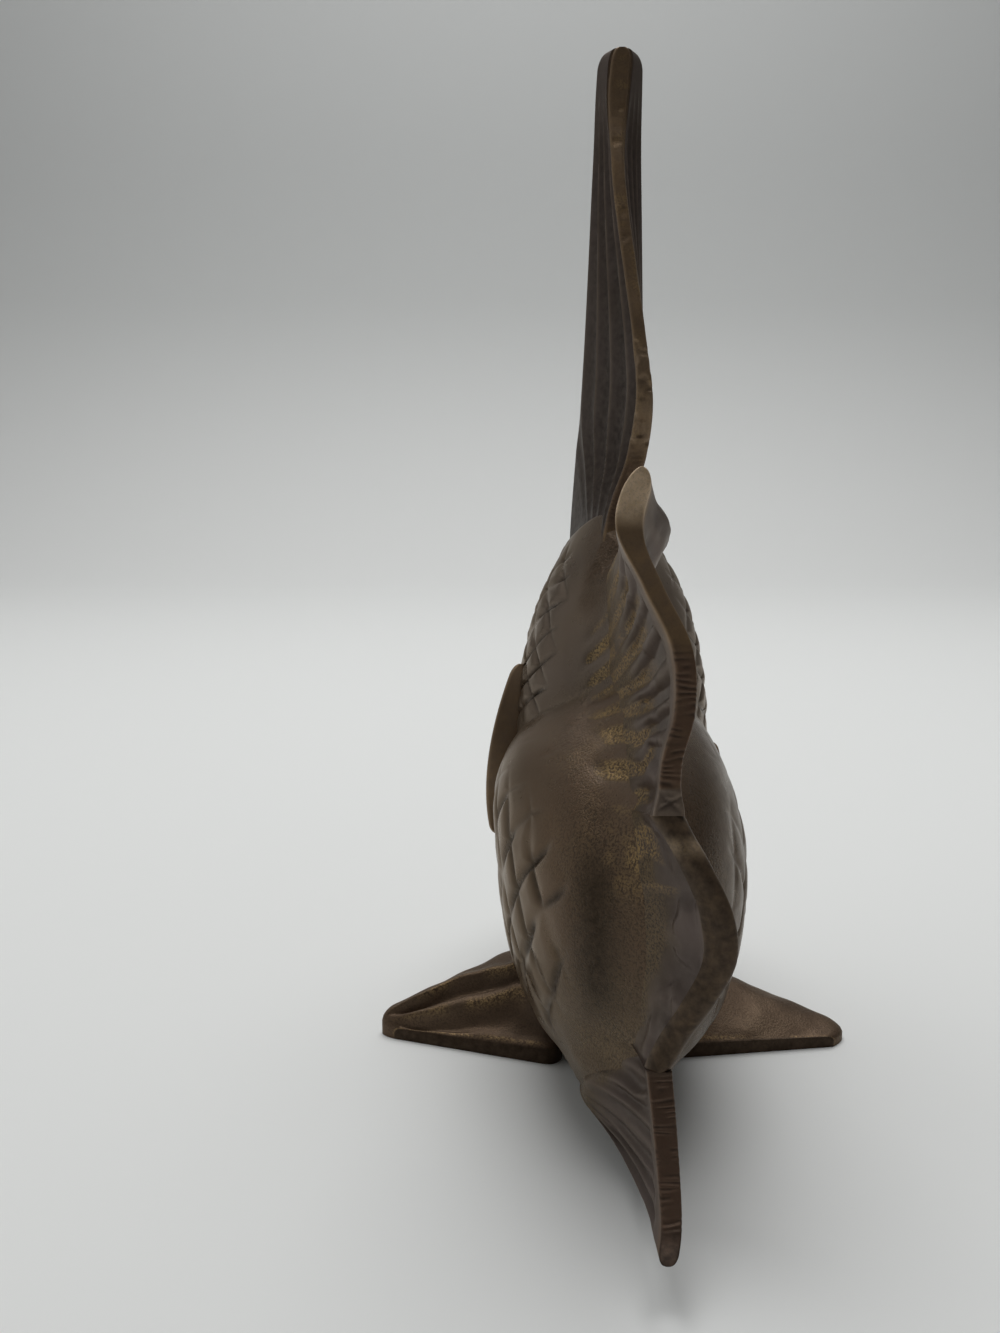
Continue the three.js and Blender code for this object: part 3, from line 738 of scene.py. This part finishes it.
def head_relief(points, normals):
    """Eye, gill cover and mouth: relief, and how dark their grooves are."""
    y = points[..., 1]
    z = points[..., 2]
    on_cheek = smoothstep(0.3, 0.5, np.abs(normals[..., 0]))
    from_eye = np.hypot(y - EYE_Y, z - EYE_Z)
    dome = EYE_HEIGHT * np.sqrt(np.clip(1 - (from_eye / EYE_RADIUS) ** 2, 0, 1))
    socket = bump(from_eye - EYE_RADIUS - SOCKET_GAP, 0.6)
    pupil = bump(from_eye - PUPIL_SHARE * EYE_RADIUS, 0.35)
    eye = on_cheek * (dome - SOCKET_DEPTH * socket - PUPIL_DEPTH * pupil)
    from_gill = beyond_gill(points)
    on_cover = on_cheek * smoothstep(GILL_Y + 4, GILL_Y - 4, y)
    cover = GILL_RISE * between(from_gill, -7, -0.3, -0.3, 0.3)
    gill_groove = bump(from_gill - 0.7, 0.7)
    gill = on_cover * (cover - GILL_GROOVE_DEPTH * gill_groove)
    mouth = bump(z - MOUTH_Z, 0.7) * smoothstep(*MOUTH_CORNER_Y, y)
    relief = eye + gill - MOUTH_DEPTH * mouth
    return relief, np.maximum.reduce((on_cheek * socket, on_cover * gill_groove, mouth))


def shoulder_bulge(points):
    """A soft swelling on the left shoulder."""
    x, y, z = np.moveaxis(points, -1, 0)
    swelling = SHOULDER_RISE * bump(z - SHOULDER_Z, SHOULDER_HEIGHT) * bump(y, SHOULDER_LENGTH)
    return swelling * smoothstep(*SHOULDER_X, x)


def rays_on_body(turns, points):
    """Where the rays of the upper tail run on to the body, and the hollows between them."""
    start, end = TAIL_UPPER_ROOT
    u = (turns - start) / (end - start)
    aside = np.abs(points[..., 0]) + 1.5 * lumps(points, 5)
    share = between(u, 0.15, 0.4, 0.95, 1.05) * smoothstep(*BODY_RAY_ASIDE, aside)
    return share, fin_valleys(TAIL_RAYS, u, np.full(turns.shape, BODY_RAY_OUT)) * share


# Colours and painted shade of the body by turn round its centre: start, full, fading and end

GRANULAR_TURNS = (88, 105, 210, 240)
GRANULAR_HALVES = (6, 15)
TAIL_SHADE_TURNS = (172, 182, 196, 206)
TAIL_SHADE_ASIDE = 8
SLIT_SHADOW_ASIDE = 7
GOLD_PATCH_TURN = 177
SADDLE_TURNS = (90, 97, 110, 124)
RIGHT_FLANK_TURNS = (130, 150, 215, 235)
REDDISH_TURNS = (135, 150, 185, 205)
HIGH_Z = (58, 82)
SCALE_SHADE = 1.4


def body_masks(turns, skin, on_rays, hollows):
    x = skin[..., 0]
    aside = np.abs(x)
    granular_half = lerp(*GRANULAR_HALVES, smoothstep(120, 150, turns))
    granular = between(turns, *GRANULAR_TURNS) * smoothstep(granular_half + 4, granular_half - 6, aside)
    patches = smoothstep(-0.4, 0.7, lumps(skin, 5, 3.1))
    # Painted shade in the hollow beside the lower tail.
    tail_valley_shade = bump(aside - TAIL_SHADE_ASIDE, 4) * between(turns, *TAIL_SHADE_TURNS)
    leaves = smoothstep(0.3, 0.6, hollows) * smoothstep(-0.7, -0.1, lumps(skin, 4, 1.7))
    # Painted shadows in short slits at the ends of the hollows between the rays.
    slit_shadows = smoothstep(0.1, 0.5, hollows) * bump(aside - SLIT_SHADOW_ASIDE, 1.5)
    patch = bump(turns - GOLD_PATCH_TURN, 3.5) * smoothstep(7, 4, aside + 2 * lumps(skin, 3))
    patch = patch * smoothstep(-0.7, 0, lumps(skin, 3, 4.4))
    saddle = between(turns, *SADDLE_TURNS) * smoothstep(9, 5, aside + 1.5 * lumps(skin, 4))
    # The right flank: a browner tone, and painted shade that makes it darker than the left.
    right_flank_tone_and_shade = smoothstep(4, 13, x) * between(turns, *RIGHT_FLANK_TURNS)
    high = smoothstep(*HIGH_Z, skin[..., 2]) * smoothstep(88, 100, turns)
    reddish = between(turns, *REDDISH_TURNS) * smoothstep(24, 12, aside)
    grains = 0.14 * granular * patches * (1 - tail_valley_shade)
    shade = 0.9 * tail_valley_shade * (1 - patch)
    return dict(
        rooted=np.maximum(0.75 * high, 0.8 * on_rays) * (1 - leaves) * (1 - saddle),
        ground=np.maximum.reduce((0.7 * reddish, 0.8 * saddle, 0.5 * right_flank_tone_and_shade)),
        gold=np.maximum.reduce((grains, 0.9 * leaves, 0.8 * patch)),
        grain=np.maximum.reduce((granular * (1 - 0.7 * on_rays), leaves, saddle)),
        dark=np.maximum.reduce((shade, 0.5 * slit_shadows, 0.65 * right_flank_tone_and_shade, 0.5 * saddle)),
    )


# Body halves

LAST_RING = 0.985
RING_CROWDING = 0.5


def body_directions(side):
    """Directions from the body's centre in rings that crowd near the middle plane and go out to one side."""
    turns = np.linspace(0, 360, count(BODY_COLUMNS), endpoint=False)
    evenly = np.linspace(0, LAST_RING, count(BODY_ROWS))
    tilts = np.arctan(RING_CROWDING * evenly / (1 - evenly))
    turns, tilts = np.meshgrid(turns, tilts)
    directions = median_direction(turns) * np.cos(tilts)[..., None]
    directions[..., 0] = side * np.sin(tilts)
    return turns, directions


def body_half(node, side):
    turns, directions = body_directions(side)
    skin = BODY_CENTRE + directions * skin_reach(BODY_CENTRE, directions)[..., None]
    normals = skin_normal(skin)
    normals[0, :, 0] = 0
    scale_relief, scale_groove_shade = scales(skin, normals)
    face_relief, face_dark = head_relief(skin, normals)
    on_rays, hollows = rays_on_body(turns, skin)
    uneven = BODY_UNEVENNESS * lumps(skin * (side, 1, 1), 13)
    relief = scale_relief + face_relief + uneven + shoulder_bulge(skin) - BODY_RAY_DEPTH * hollows
    rises = [blend_rise(fin, turns[0], skin[..., 0]) for fin in BLENDS]
    rise = np.sum(np.power(rises, BLEND_MELT), axis=0) ** (1 / BLEND_MELT)
    points = skin + normals * relief[..., None] + directions * rise[..., None]
    masks = body_masks(turns, skin, on_rays, hollows)
    # Painted shade in the scale grooves joins the dark mask, with the head's grooves.
    masks["dark"] = np.maximum.reduce((masks["dark"], SCALE_SHADE * scale_groove_shade, face_dark))
    lofted_piece(node, points, masks, body_patina)


# Rings and rims of the fins

FILE_MARK_PITCH = 1.1
FILE_MARK_DEPTH = 0.16
CROSS_MARK_DEPTH = 0.35


def fin_rings(middle, half, outward, bevel, rows, along):
    """Closed rings round a fin: up one face, across the rim with its rounded edges, and down the other face.

    middle(u, v), half(u, v, face) and outward(u) describe the fin.
    Returns the points, their u and v and whether they are on the rim.
    """
    v = np.linspace(0, 1, rows)
    turn = np.linspace(math.pi / 2, -math.pi / 2, RIM_STEPS)
    v_ring = np.concatenate((v[:-1], np.ones(RIM_STEPS), v[-2::-1]))
    across = np.concatenate((np.ones(rows - 1), np.sin(turn), -np.ones(rows - 1)))
    u_grid, v_grid = np.meshgrid(along, v_ring, indexing="ij")
    across_grid = np.broadcast_to(across, u_grid.shape)
    on_rim = v_grid == 1
    ends = middle(u_grid[:, :2], np.broadcast_to((0.0, 1.0), (len(along), 2)))
    tall = np.linalg.norm(ends[:, 1] - ends[:, 0], axis=-1)[:, None]
    v_grid = np.where(on_rim, 1, v_grid * (1 - bevel / tall))
    points = middle(u_grid, v_grid)
    thick = np.maximum(half(u_grid, v_grid, np.sign(across_grid)), LEAST_HALF)
    points[..., 0] += across_grid * thick
    round_off = np.minimum(bevel, thick)
    over = np.clip((np.abs(across_grid) * thick - thick + round_off) / round_off, 0, 1)
    drop = bevel * (1 - np.sqrt(1 - over ** 2)) * on_rim
    points -= outward(u_grid) * drop[..., None]
    return points, u_grid, v_grid, on_rim


def backward(u):
    return np.broadcast_to((0.0, -1.0, 0.0), (*u.shape, 3))


def file_marks(length, points):
    """Uneven cross strokes of a file on a rim, from 0 to 1."""
    stroke = (length + 0.9 * lumps(points * (0.4, 1, 1), 2.3)) / FILE_MARK_PITCH
    return scallops(stroke) ** 2 * smoothstep(-0.7, 0.4, lumps(points, 1.6, 4.2))


def cross_mark(along, across):
    """Two short crossing cuts, from 0 to 1."""
    cuts = np.maximum(bump(along + 0.6 * across, 0.35), bump(along - 0.9 * across, 0.35))
    return cuts * bump(np.hypot(along, across), 1.5)


# Dorsal fin, with ranges of u as start, full, fading and end

DORSAL_BEVEL = 0.8
DORSAL_RIM_LENGTH = 150
DORSAL_FLUTES = 4.4
DORSAL_FLUTE_PHASE = 0.15
DORSAL_FLUTE_DEPTH = 1.3
DORSAL_FLUTED = (0.1, 0.24, 0.75, 0.95)
DORSAL_FILED = (0.12, 0.16, 0.24, 0.30)
DORSAL_PITTED = (0.26, 0.30, 0.44, 0.52)
DORSAL_PIT_DEPTHS = (0.12, 0.6)


def dorsal_chord(u):
    leading, trailing = dorsal_edges(u[:, 0])
    return np.linalg.norm(trailing - leading, axis=-1)[:, None]


def dorsal_flutes(u, v):
    """Hollows between sharp ridges that fan out from the foot of the rim, and how much of them there is."""
    fan = lerp(0.3, 1, smoothstep(0, 0.36, u))
    place = 1 - (1 - v) / fan
    share = smoothstep(-0.1, 0.5, place) * smoothstep(0.3, 2.0, (1 - v) * dorsal_chord(u))
    return scallops(DORSAL_FLUTES * place + DORSAL_FLUTE_PHASE), share * between(u, *DORSAL_FLUTED)


def dorsal_fin():
    """The tall blade on the back, thick and rounded in front, with a thin rim behind."""
    def middle(u, v):
        return dorsal_sheet(u[:, 0], v)

    def half(u, v, face):
        shoulder = lerp(0.5, 1, rounded_end(1 - u, 0.035))
        fluting = DORSAL_FLUTE_DEPTH * np.prod(dorsal_flutes(u, v), axis=0)
        return shoulder * dorsal_wedge(u, v) - fluting * rounded_end(v, DORSAL_EDGE_SHARE)

    along = np.linspace(0, 1, count(DORSAL_COLUMNS))
    points, u, v, on_rim = fin_rings(middle, half, backward, DORSAL_BEVEL, count(MEDIAN_FIN_ROWS), along)
    filed = between(u, *DORSAL_FILED)
    marks = file_marks(DORSAL_RIM_LENGTH * u, points) * filed
    pitted = between(u, *DORSAL_PITTED)
    pits = smoothstep(0.1, 0.7, lumps(points, 1.7)) * lerp(*DORSAL_PIT_DEPTHS, pitted)
    points[..., 1] += on_rim * (FILE_MARK_DEPTH * marks + pits)
    rim = np.maximum(on_rim, smoothstep(0.9, 0.2, (1 - v) * dorsal_chord(u)))
    hollows, fluted = dorsal_flutes(u, v)
    # Painted highlights on the ridges between the flutes.
    ridges = fluted * smoothstep(0.35, 0.0, hollows)
    # Painted shade on the face: some all over, more in the hollows of the flutes, and full over the lower
    # part of the fin.
    face_dark = lerp(0.42 + 0.5 * hollows * fluted, 1, smoothstep(0.45, 0.1, u)) * (1 - rim)
    rim_dark = on_rim * np.maximum(0.7 * marks, 0.25)
    masks = dict(
        # The pale mask here is painted: highlights on the flute ridges and glints on the pitted stretch of
        # the rim.
        wear_and_highlight=np.maximum(0.13 * ridges, 0.1 * on_rim * pitted),
        gold=0.35 * rim * smoothstep(0, 0.7, lumps(points, 2.5)),
        ground=rim,
        filed=0.7 * rim * filed,
        dark=np.maximum(face_dark, rim_dark),
        grain=np.maximum(0.25, smoothstep(0.16, 0.08, u)) * rim,
    )
    lofted_piece("dorsal_fin", points, masks, fin_patina)


# Tail and anal fins

DIMPLE_SIZE = 5
DIMPLE_DETAIL = 2.4
OTHER_FACE = 40
FACE_HOLLOW = 0.4
DENTED_FROM = (0.48, 0.66)
NUB_LENGTH = (2.6, 1.8)
RANGE_SOFTNESS = 0.04
EVERYWHERE = (-1, 2)
NOWHERE = (2, 3)
NO_CROSS = -1


def in_range(u, ends):
    start, end = ends
    soft = RANGE_SOFTNESS
    return between(u, start - soft, start + soft, end - soft, end + soft)


def rear_fin_masks(looks, ring, hollows, pressed, cuts, on_nub):
    points, u, v, on_rim = ring
    rim = np.maximum(on_rim, smoothstep(0.95, 0.99, v))
    rubbed = in_range(u, looks["rubbed"]) * on_rim
    patches = smoothstep(-0.8, -0.2, lumps(points, 4, 1.7))
    uneven = v + 0.15 * lumps(points, 5, 6.1)
    leaves = smoothstep(0.72, 0.52, uneven) * smoothstep(0.3, 0.65, hollows)
    grains = leaves * patches * in_range(u, looks["grains"])
    root = looks["root"]
    at_root = smoothstep(root + 0.14, root, uneven)
    # Painted shade in the hollows between the rays and in the dents of the faces.
    crease_shade = np.maximum(0.4 * hollows, 0.35 * pressed) * fin_inside(v) * (1 - rim) * (1 - grains)
    soot = lerp(*looks["soot"], smoothstep(0.72, 0.88, u))
    return dict(
        rooted=smoothstep(root + 0.32, root, uneven) * (1 - grains),
        wear_and_highlight=np.maximum(rubbed, 0.12 * rim * on_nub),
        gold=np.maximum.reduce((grains, 0.3 * rubbed, 0.25 * at_root * patches)),
        grain=np.maximum.reduce((grains, 0.15 * rim, 0.5 * rubbed, at_root)),
        ground=looks["polish"] * rim * (1 - on_nub),
        filed=rim * in_range(u, looks["filed"]) * (1 - on_nub),
        dark=np.maximum(crease_shade, on_rim * np.maximum(cuts, soot)),
    )


def rear_fin(node, root_turns, rim_stations, thickness, rays, ray_depth, dents, bevel, looks):
    """A tail or anal fin, ruled from its root on the body to its swaying rim.

    thickness(u, v, face) is half of it without its rays, and dents are hollows in its faces.
    In looks, grains, filed, marked and rubbed are ranges of u, crossed is the place of a cross mark,
    polish is how bright the rim is, soot is how dark it is along most of it and near its end,
    and root is how far the body's brown reaches up the faces.
    """
    rim_points = median_points(rim_stations)
    rim_length = np.sum(np.linalg.norm(np.diff(rim_points, axis=0), axis=1))

    def middle(u, v):
        return rear_sheet(root_turns, rim_points, u[:, 0], v)

    def dimples(u, v, face):
        place = middle(u, v) + OTHER_FACE * face[..., None]
        return smoothstep(-0.5, 0.7, lumps(place, DIMPLE_SIZE) + 0.5 * lumps(place, DIMPLE_DETAIL))

    def half(u, v, face):
        plain_tip = 1 - bump(u, 0.3) * (face > 0)
        between_rays = ray_depth * plain_tip * fin_valleys(rays, u, v)
        pressed = dents * (dimples(u, v, face) - 0.5) * smoothstep(*DENTED_FROM, v)
        hollow = FACE_HOLLOW + between_rays + pressed
        return thickness(u, v, face) - hollow * fin_inside(v) * rounded_end(np.minimum(u, 1 - u), 0.06)

    def outward(u):
        ends = middle(u[:, :2], np.broadcast_to((0.9, 1.0), (len(u), 2)))
        return np.broadcast_to(unit(ends[:, 1] - ends[:, 0])[:, None], (*u.shape, 3))

    along = np.linspace(0, 1, count(REAR_FIN_COLUMNS))
    ring = fin_rings(middle, half, outward, bevel, count(MEDIAN_FIN_ROWS), along)
    points, u, v, on_rim = ring
    marks = file_marks(rim_length * u, points) * in_range(u, looks["marked"])
    from_cross = rim_length * (u - looks["crossed"])
    cross = cross_mark(from_cross, points[..., 0] - middle(u, v)[..., 0])
    points -= outward(u) * (on_rim * (FILE_MARK_DEPTH * marks + CROSS_MARK_DEPTH * cross))[..., None]
    face = np.sign(points[..., 0] - middle(u, v)[..., 0])
    masks = rear_fin_masks(
        looks,
        ring,
        hollows=fin_valleys(rays, u, v),
        pressed=min(dents, 1.0) * dimples(u, v, face),
        cuts=np.maximum(0.8 * marks, 0.7 * cross),
        on_nub=smoothstep(*NUB_LENGTH, np.abs(from_cross)),
    )
    lofted_piece(node, points, masks, fin_patina)


# Pectoral fins

def pectoral_fin(node, side, form):
    """A side fin that fans back along the flank, with rays from its root."""
    def sheet(u, v):
        tip_y = form["tip_y"] + PECTORAL_TIP_ROUND * (2 * u - 1) ** 2
        tip_z = lerp(form["tip_low"], form["tip_high"], u)
        tip_x = form["tip_out"] - (tip_z - form["out_z"]) ** 2 / (2 * PECTORAL_TIP_BOW)
        y = lerp(PECTORAL_ROOT_Y, tip_y, v)
        z = lerp(lerp(PECTORAL_ROOT_LOW, PECTORAL_ROOT_HIGH, u), tip_z, v)
        tip_gap = np.maximum(tip_x - flank(tip_y, tip_z), 0)
        return y, z, lerp(-ROOT_DEPTH, tip_gap, v)

    def middle(u, v):
        y, z, apart = sheet(u, v)
        return np.stack((flank(y, z) + apart, y, z), axis=-1)

    def valleys(u, v):
        return scallops(PECTORAL_RAYS * u) * smoothstep(0.25, 0.5, v)

    def half(u, v, face):
        _, _, apart = sheet(u, v)
        plain = lerp(PECTORAL_ROOT_HALF, PECTORAL_TIP_HALF, v) * rounded_end(np.minimum(u, 1 - u), 0.06)
        rayed = plain - PECTORAL_RAY_DEPTH * (valleys(u, v) * smoothstep(1, 0.9, v))
        return np.where(face < 0, np.maximum(plain, apart + PECTORAL_BURIED), rayed)

    along = np.linspace(0, 1, count(PECTORAL_COLUMNS))
    points, u, v, on_rim = fin_rings(middle, half, backward, PECTORAL_BEVEL, count(PECTORAL_ROWS), along)
    points[..., 0] *= side
    masks = dict(
        wear_and_highlight=0.05 * on_rim,
        ground=0.8 * on_rim,
        dark=np.where(on_rim, 0, 0.6 * valleys(u, v)),
    )
    lofted_piece(node, points, masks, fin_patina)


# Pelvic fins

def pelvic_fin(node, side, form, ridges):
    """A foot: a flat sole, an upright rear edge and a slope up to a crest.

    Each ridge is steep behind and long in front, with a groove behind it.
    """
    along = np.linspace(0, 1, count(FOOT_COLUMNS))
    across = np.linspace(0, 1, count(FOOT_ROWS))
    v_ring = np.concatenate((across, across[::-1]))
    top = np.concatenate((np.ones(len(across)), np.zeros(len(across))))
    u, v = np.meshgrid(along, v_ring, indexing="ij")
    rear = lerp(form["rear_root_y"], form["rear_tip_y"], u) + FOOT_ROOT_CURVE * (1 - rounded_end(u, 0.12))
    front = lerp(FOOT_FRONT_ROOT_Y, FOOT_FRONT_TIP_Y, u ** FOOT_FRONT_CURVE)
    x = lerp(FOOT_ROOT_X, FOOT_TIP_X, u) - FOOT_TIP_CURVE * (2 * v - 1) ** 2 * u
    y = lerp(rear, front, v)
    flat = np.stack((side * x, y, np.zeros_like(x)), axis=-1)
    crest = lerp(form["crest_root"], form["crest_tip"], u)
    slope = np.minimum(v / FOOT_CREST_SHARE, (1 - v) / (1 - FOOT_CREST_SHARE))
    edge = lerp(FOOT_EDGE_ROOT_HEIGHT, FOOT_EDGE_TIP_HEIGHT, u)
    height = edge + (crest - edge) * np.sin(slope * math.pi / 2)
    height = height * lerp(0.6, 1, rounded_end(1 - u, 0.06))
    inside = between(v, 0, 0.08, 0.9, 1) * smoothstep(1, 0.8, u)
    # Painted highlight in gold along the top of the rear edge, and below along each ridge's crest.
    lit = 0.8 * bump(v - 0.03, 0.012) * smoothstep(0.05, 0.2, u)
    for at, rise, width in ridges:
        line = v - at - 0.05 * lumps(flat, 7)
        ridge = np.where(line < 0, bump(line, 0.5 * width), bump(line, 1.6 * width))
        groove = bump(line + 1.5 * width, width)
        height = height + inside * rise * ridge
        height = height - inside * rise * groove
        lit = np.maximum(lit, inside * bump(line, 0.35 * width))
    height = height + FOOT_UNEVENNESS * lumps(flat, 4) * inside
    points = np.stack((side * x, y, top * np.maximum(height, FOOT_LEAST_HEIGHT)), axis=-1)
    # Painted shade on the upright rear edge, which faces away from the light.
    shaded_rear_face = smoothstep(0.02, 0, v)
    blotches = inside * top * smoothstep(0.2, 0.8, lumps(flat, 6, 8.8))
    masks = dict(
        gold=0.9 * lit * top * smoothstep(-0.5, 0.3, lumps(flat, 4, 2.2)),
        grain=0.6 * top,
        dark=np.maximum(0.9 * shaded_rear_face, 0.3 * blotches),
    )
    lofted_piece(node, points, masks, foot_patina)


# The ten pieces

for name, side in (("left", -1), ("right", 1)):
    body_half("body_shell_" + name, side)
    pectoral_fin("pectoral_fin_" + name, side, PECTORALS[name])
    pelvic_fin("pelvic_fin_" + name, side, FEET[name], RIDGES[name])
dorsal_fin()
rear_fin(
    "tail_fin_upper", TAIL_UPPER_ROOT, TAIL_UPPER_RIM, tail_upper_thickness,
    rays=TAIL_RAYS, ray_depth=TAIL_RAY_DEPTH, dents=0.4, bevel=0.5,
    looks=dict(
        grains=EVERYWHERE, filed=(0.55, 0.94), marked=(0.55, 0.94), rubbed=(-1, 0.15),
        crossed=0.965, polish=1.0, soot=(0.0, 0.0), root=0.28,
    ),
)
rear_fin(
    "tail_fin_lower", TAIL_LOWER_ROOT, TAIL_LOWER_RIM, tail_lower_thickness,
    rays=4, ray_depth=0.3, dents=1.1, bevel=2.3,
    looks=dict(
        grains=(-1, 0.3), filed=NOWHERE, marked=NOWHERE, rubbed=(0.1, 0.14),
        crossed=NO_CROSS, polish=0.9, soot=(0.85, 0.85), root=0.41,
    ),
)
rear_fin(
    "anal_fin", ANAL_ROOT, ANAL_RIM, anal_thickness,
    rays=7, ray_depth=0.8, dents=0.2, bevel=0.4,
    looks=dict(
        grains=NOWHERE, filed=(0.02, 2), marked=(0.02, 0.82), rubbed=NOWHERE,
        crossed=NO_CROSS, polish=0.4, soot=(0.25, 0.95), root=0.28,
    ),
)


# Stage: a pale sweep with painted shade that darkens it upwards, soft light from above and a room that is
# dim behind the camera

FLOOR_STATIONS = (-900.0, -300.0, 0.0, 300.0)
FLOOR_BACK = 760.0
SWEEP_RADIUS = 260.0
SWEEP_STEPS = 24
SWEEP_TOP = 900.0
SWEEP_HALF_WIDTH = 1400.0
PAPER_LOW = (0.82, 0.83, 0.82)
PAPER_SHADED_HIGH = (0.56, 0.57, 0.565)
PAPER_LOW_Z = 10
PAPER_HIGH_Z = 420
PAPER_ROUGHNESS = 0.75
PAPER_SHINE = 0.2
LAMP_PLACE = (0, 330, 1050)
LAMP_AIM = (0, 300, 0)
LAMP_SIZE = 1000
LAMP_POWER = 8.5
BRIGHT_SIDE = (-0.45, 0.9, 0.0)
ROOM_DIM = (0.10, 0.10, 0.10)
ROOM_BRIGHT = (0.50, 0.505, 0.50)
ROOM_DIM_UP_TO = -0.4
ROOM_BRIGHT_FROM = 0.7


def pale_paper():
    material = bpy.data.materials.new("pale_paper")
    material.use_nodes = True
    tree = material.node_tree
    sockets = tree.nodes["Principled BSDF"].inputs
    place = tree.nodes.new("ShaderNodeSeparateXYZ")
    feed(tree, place.inputs["Vector"], tree.nodes.new("ShaderNodeTexCoord").outputs["Object"])
    # Painted shade: the paper's colour darkens from the floor up the wall.
    height = spread(tree, place.outputs["Z"], PAPER_LOW_Z * MM, PAPER_HIGH_Z * MM, easing="SMOOTHSTEP")
    feed(tree, sockets["Base Color"], mixed(tree, height, PAPER_LOW, PAPER_SHADED_HIGH))
    feed(tree, sockets["Roughness"], PAPER_ROUGHNESS)
    feed(tree, sockets["Specular IOR Level"], PAPER_SHINE)
    return material


def pale_sweep():
    """A floor that curves up into a wall far behind the fish."""
    profile = [(y, 0.0) for y in FLOOR_STATIONS]
    for angle in np.linspace(0, math.pi / 2, SWEEP_STEPS):
        y = FLOOR_BACK + SWEEP_RADIUS * math.sin(angle)
        profile.append((y, SWEEP_RADIUS * (1 - math.cos(angle))))
    profile.append((FLOOR_BACK + SWEEP_RADIUS, SWEEP_TOP))
    points = []
    faces = []
    for i, (y, z) in enumerate(profile):
        points.append((-SWEEP_HALF_WIDTH * MM, y * MM, z * MM))
        points.append((SWEEP_HALF_WIDTH * MM, y * MM, z * MM))
        if i:
            faces.append((2 * i - 2, 2 * i - 1, 2 * i + 1, 2 * i))
    mesh = bpy.data.meshes.new("pale_sweep")
    mesh.from_pydata(points, [], faces)
    mesh.polygons.foreach_set("use_smooth", np.ones(len(faces), bool))
    mesh.materials.append(pale_paper())
    sweep = bpy.data.objects.new("pale_sweep", mesh)
    bpy.context.scene.collection.objects.link(sweep)


def soft_light():
    lamp = bpy.data.lights.new("overhead", "AREA")
    lamp.shape = "DISK"
    lamp.size = LAMP_SIZE * MM
    lamp.energy = LAMP_POWER
    light = bpy.data.objects.new("overhead", lamp)
    light.location = np.array(LAMP_PLACE) * MM
    from_aim = Vector(LAMP_PLACE) - Vector(LAMP_AIM)
    light.rotation_euler = from_aim.to_track_quat("Z", "Y").to_euler()
    bpy.context.scene.collection.objects.link(light)


def room():
    world = bpy.data.worlds.new("room")
    world.use_nodes = True
    tree = world.node_tree
    along = tree.nodes.new("ShaderNodeVectorMath")
    along.operation = "DOT_PRODUCT"
    feed(tree, along.inputs[0], tree.nodes.new("ShaderNodeTexCoord").outputs["Generated"])
    feed(tree, along.inputs[1], BRIGHT_SIDE)
    share = spread(tree, along.outputs["Value"], ROOM_DIM_UP_TO, ROOM_BRIGHT_FROM, easing="SMOOTHSTEP")
    feed(tree, tree.nodes["Background"].inputs["Color"], mixed(tree, share, ROOM_DIM, ROOM_BRIGHT))
    bpy.context.scene.world = world


# Camera: behind and a little left of the fish, looking straight along it and slightly down

CAMERA_PLACE = np.array((-24.0, -229.0, 127.5))
CAMERA_PITCH = 11.0
CAMERA_LENS = 32.41
CAMERA_SENSOR = 36
CAMERA_NEAREST = 10


def photo_camera():
    lens = bpy.data.cameras.new("camera")
    lens.lens = CAMERA_LENS
    lens.sensor_width = CAMERA_SENSOR
    lens.clip_start = CAMERA_NEAREST * MM
    camera = bpy.data.objects.new("camera", lens)
    camera.location = (CAMERA_PLACE + FRAME_SHIFT) * MM
    camera.rotation_euler = (math.radians(90 - CAMERA_PITCH), 0, 0)
    bpy.context.scene.collection.objects.link(camera)
    bpy.context.scene.camera = camera


pale_sweep()
soft_light()
room()
photo_camera()
bpy.context.scene.view_settings.view_transform = "Standard"
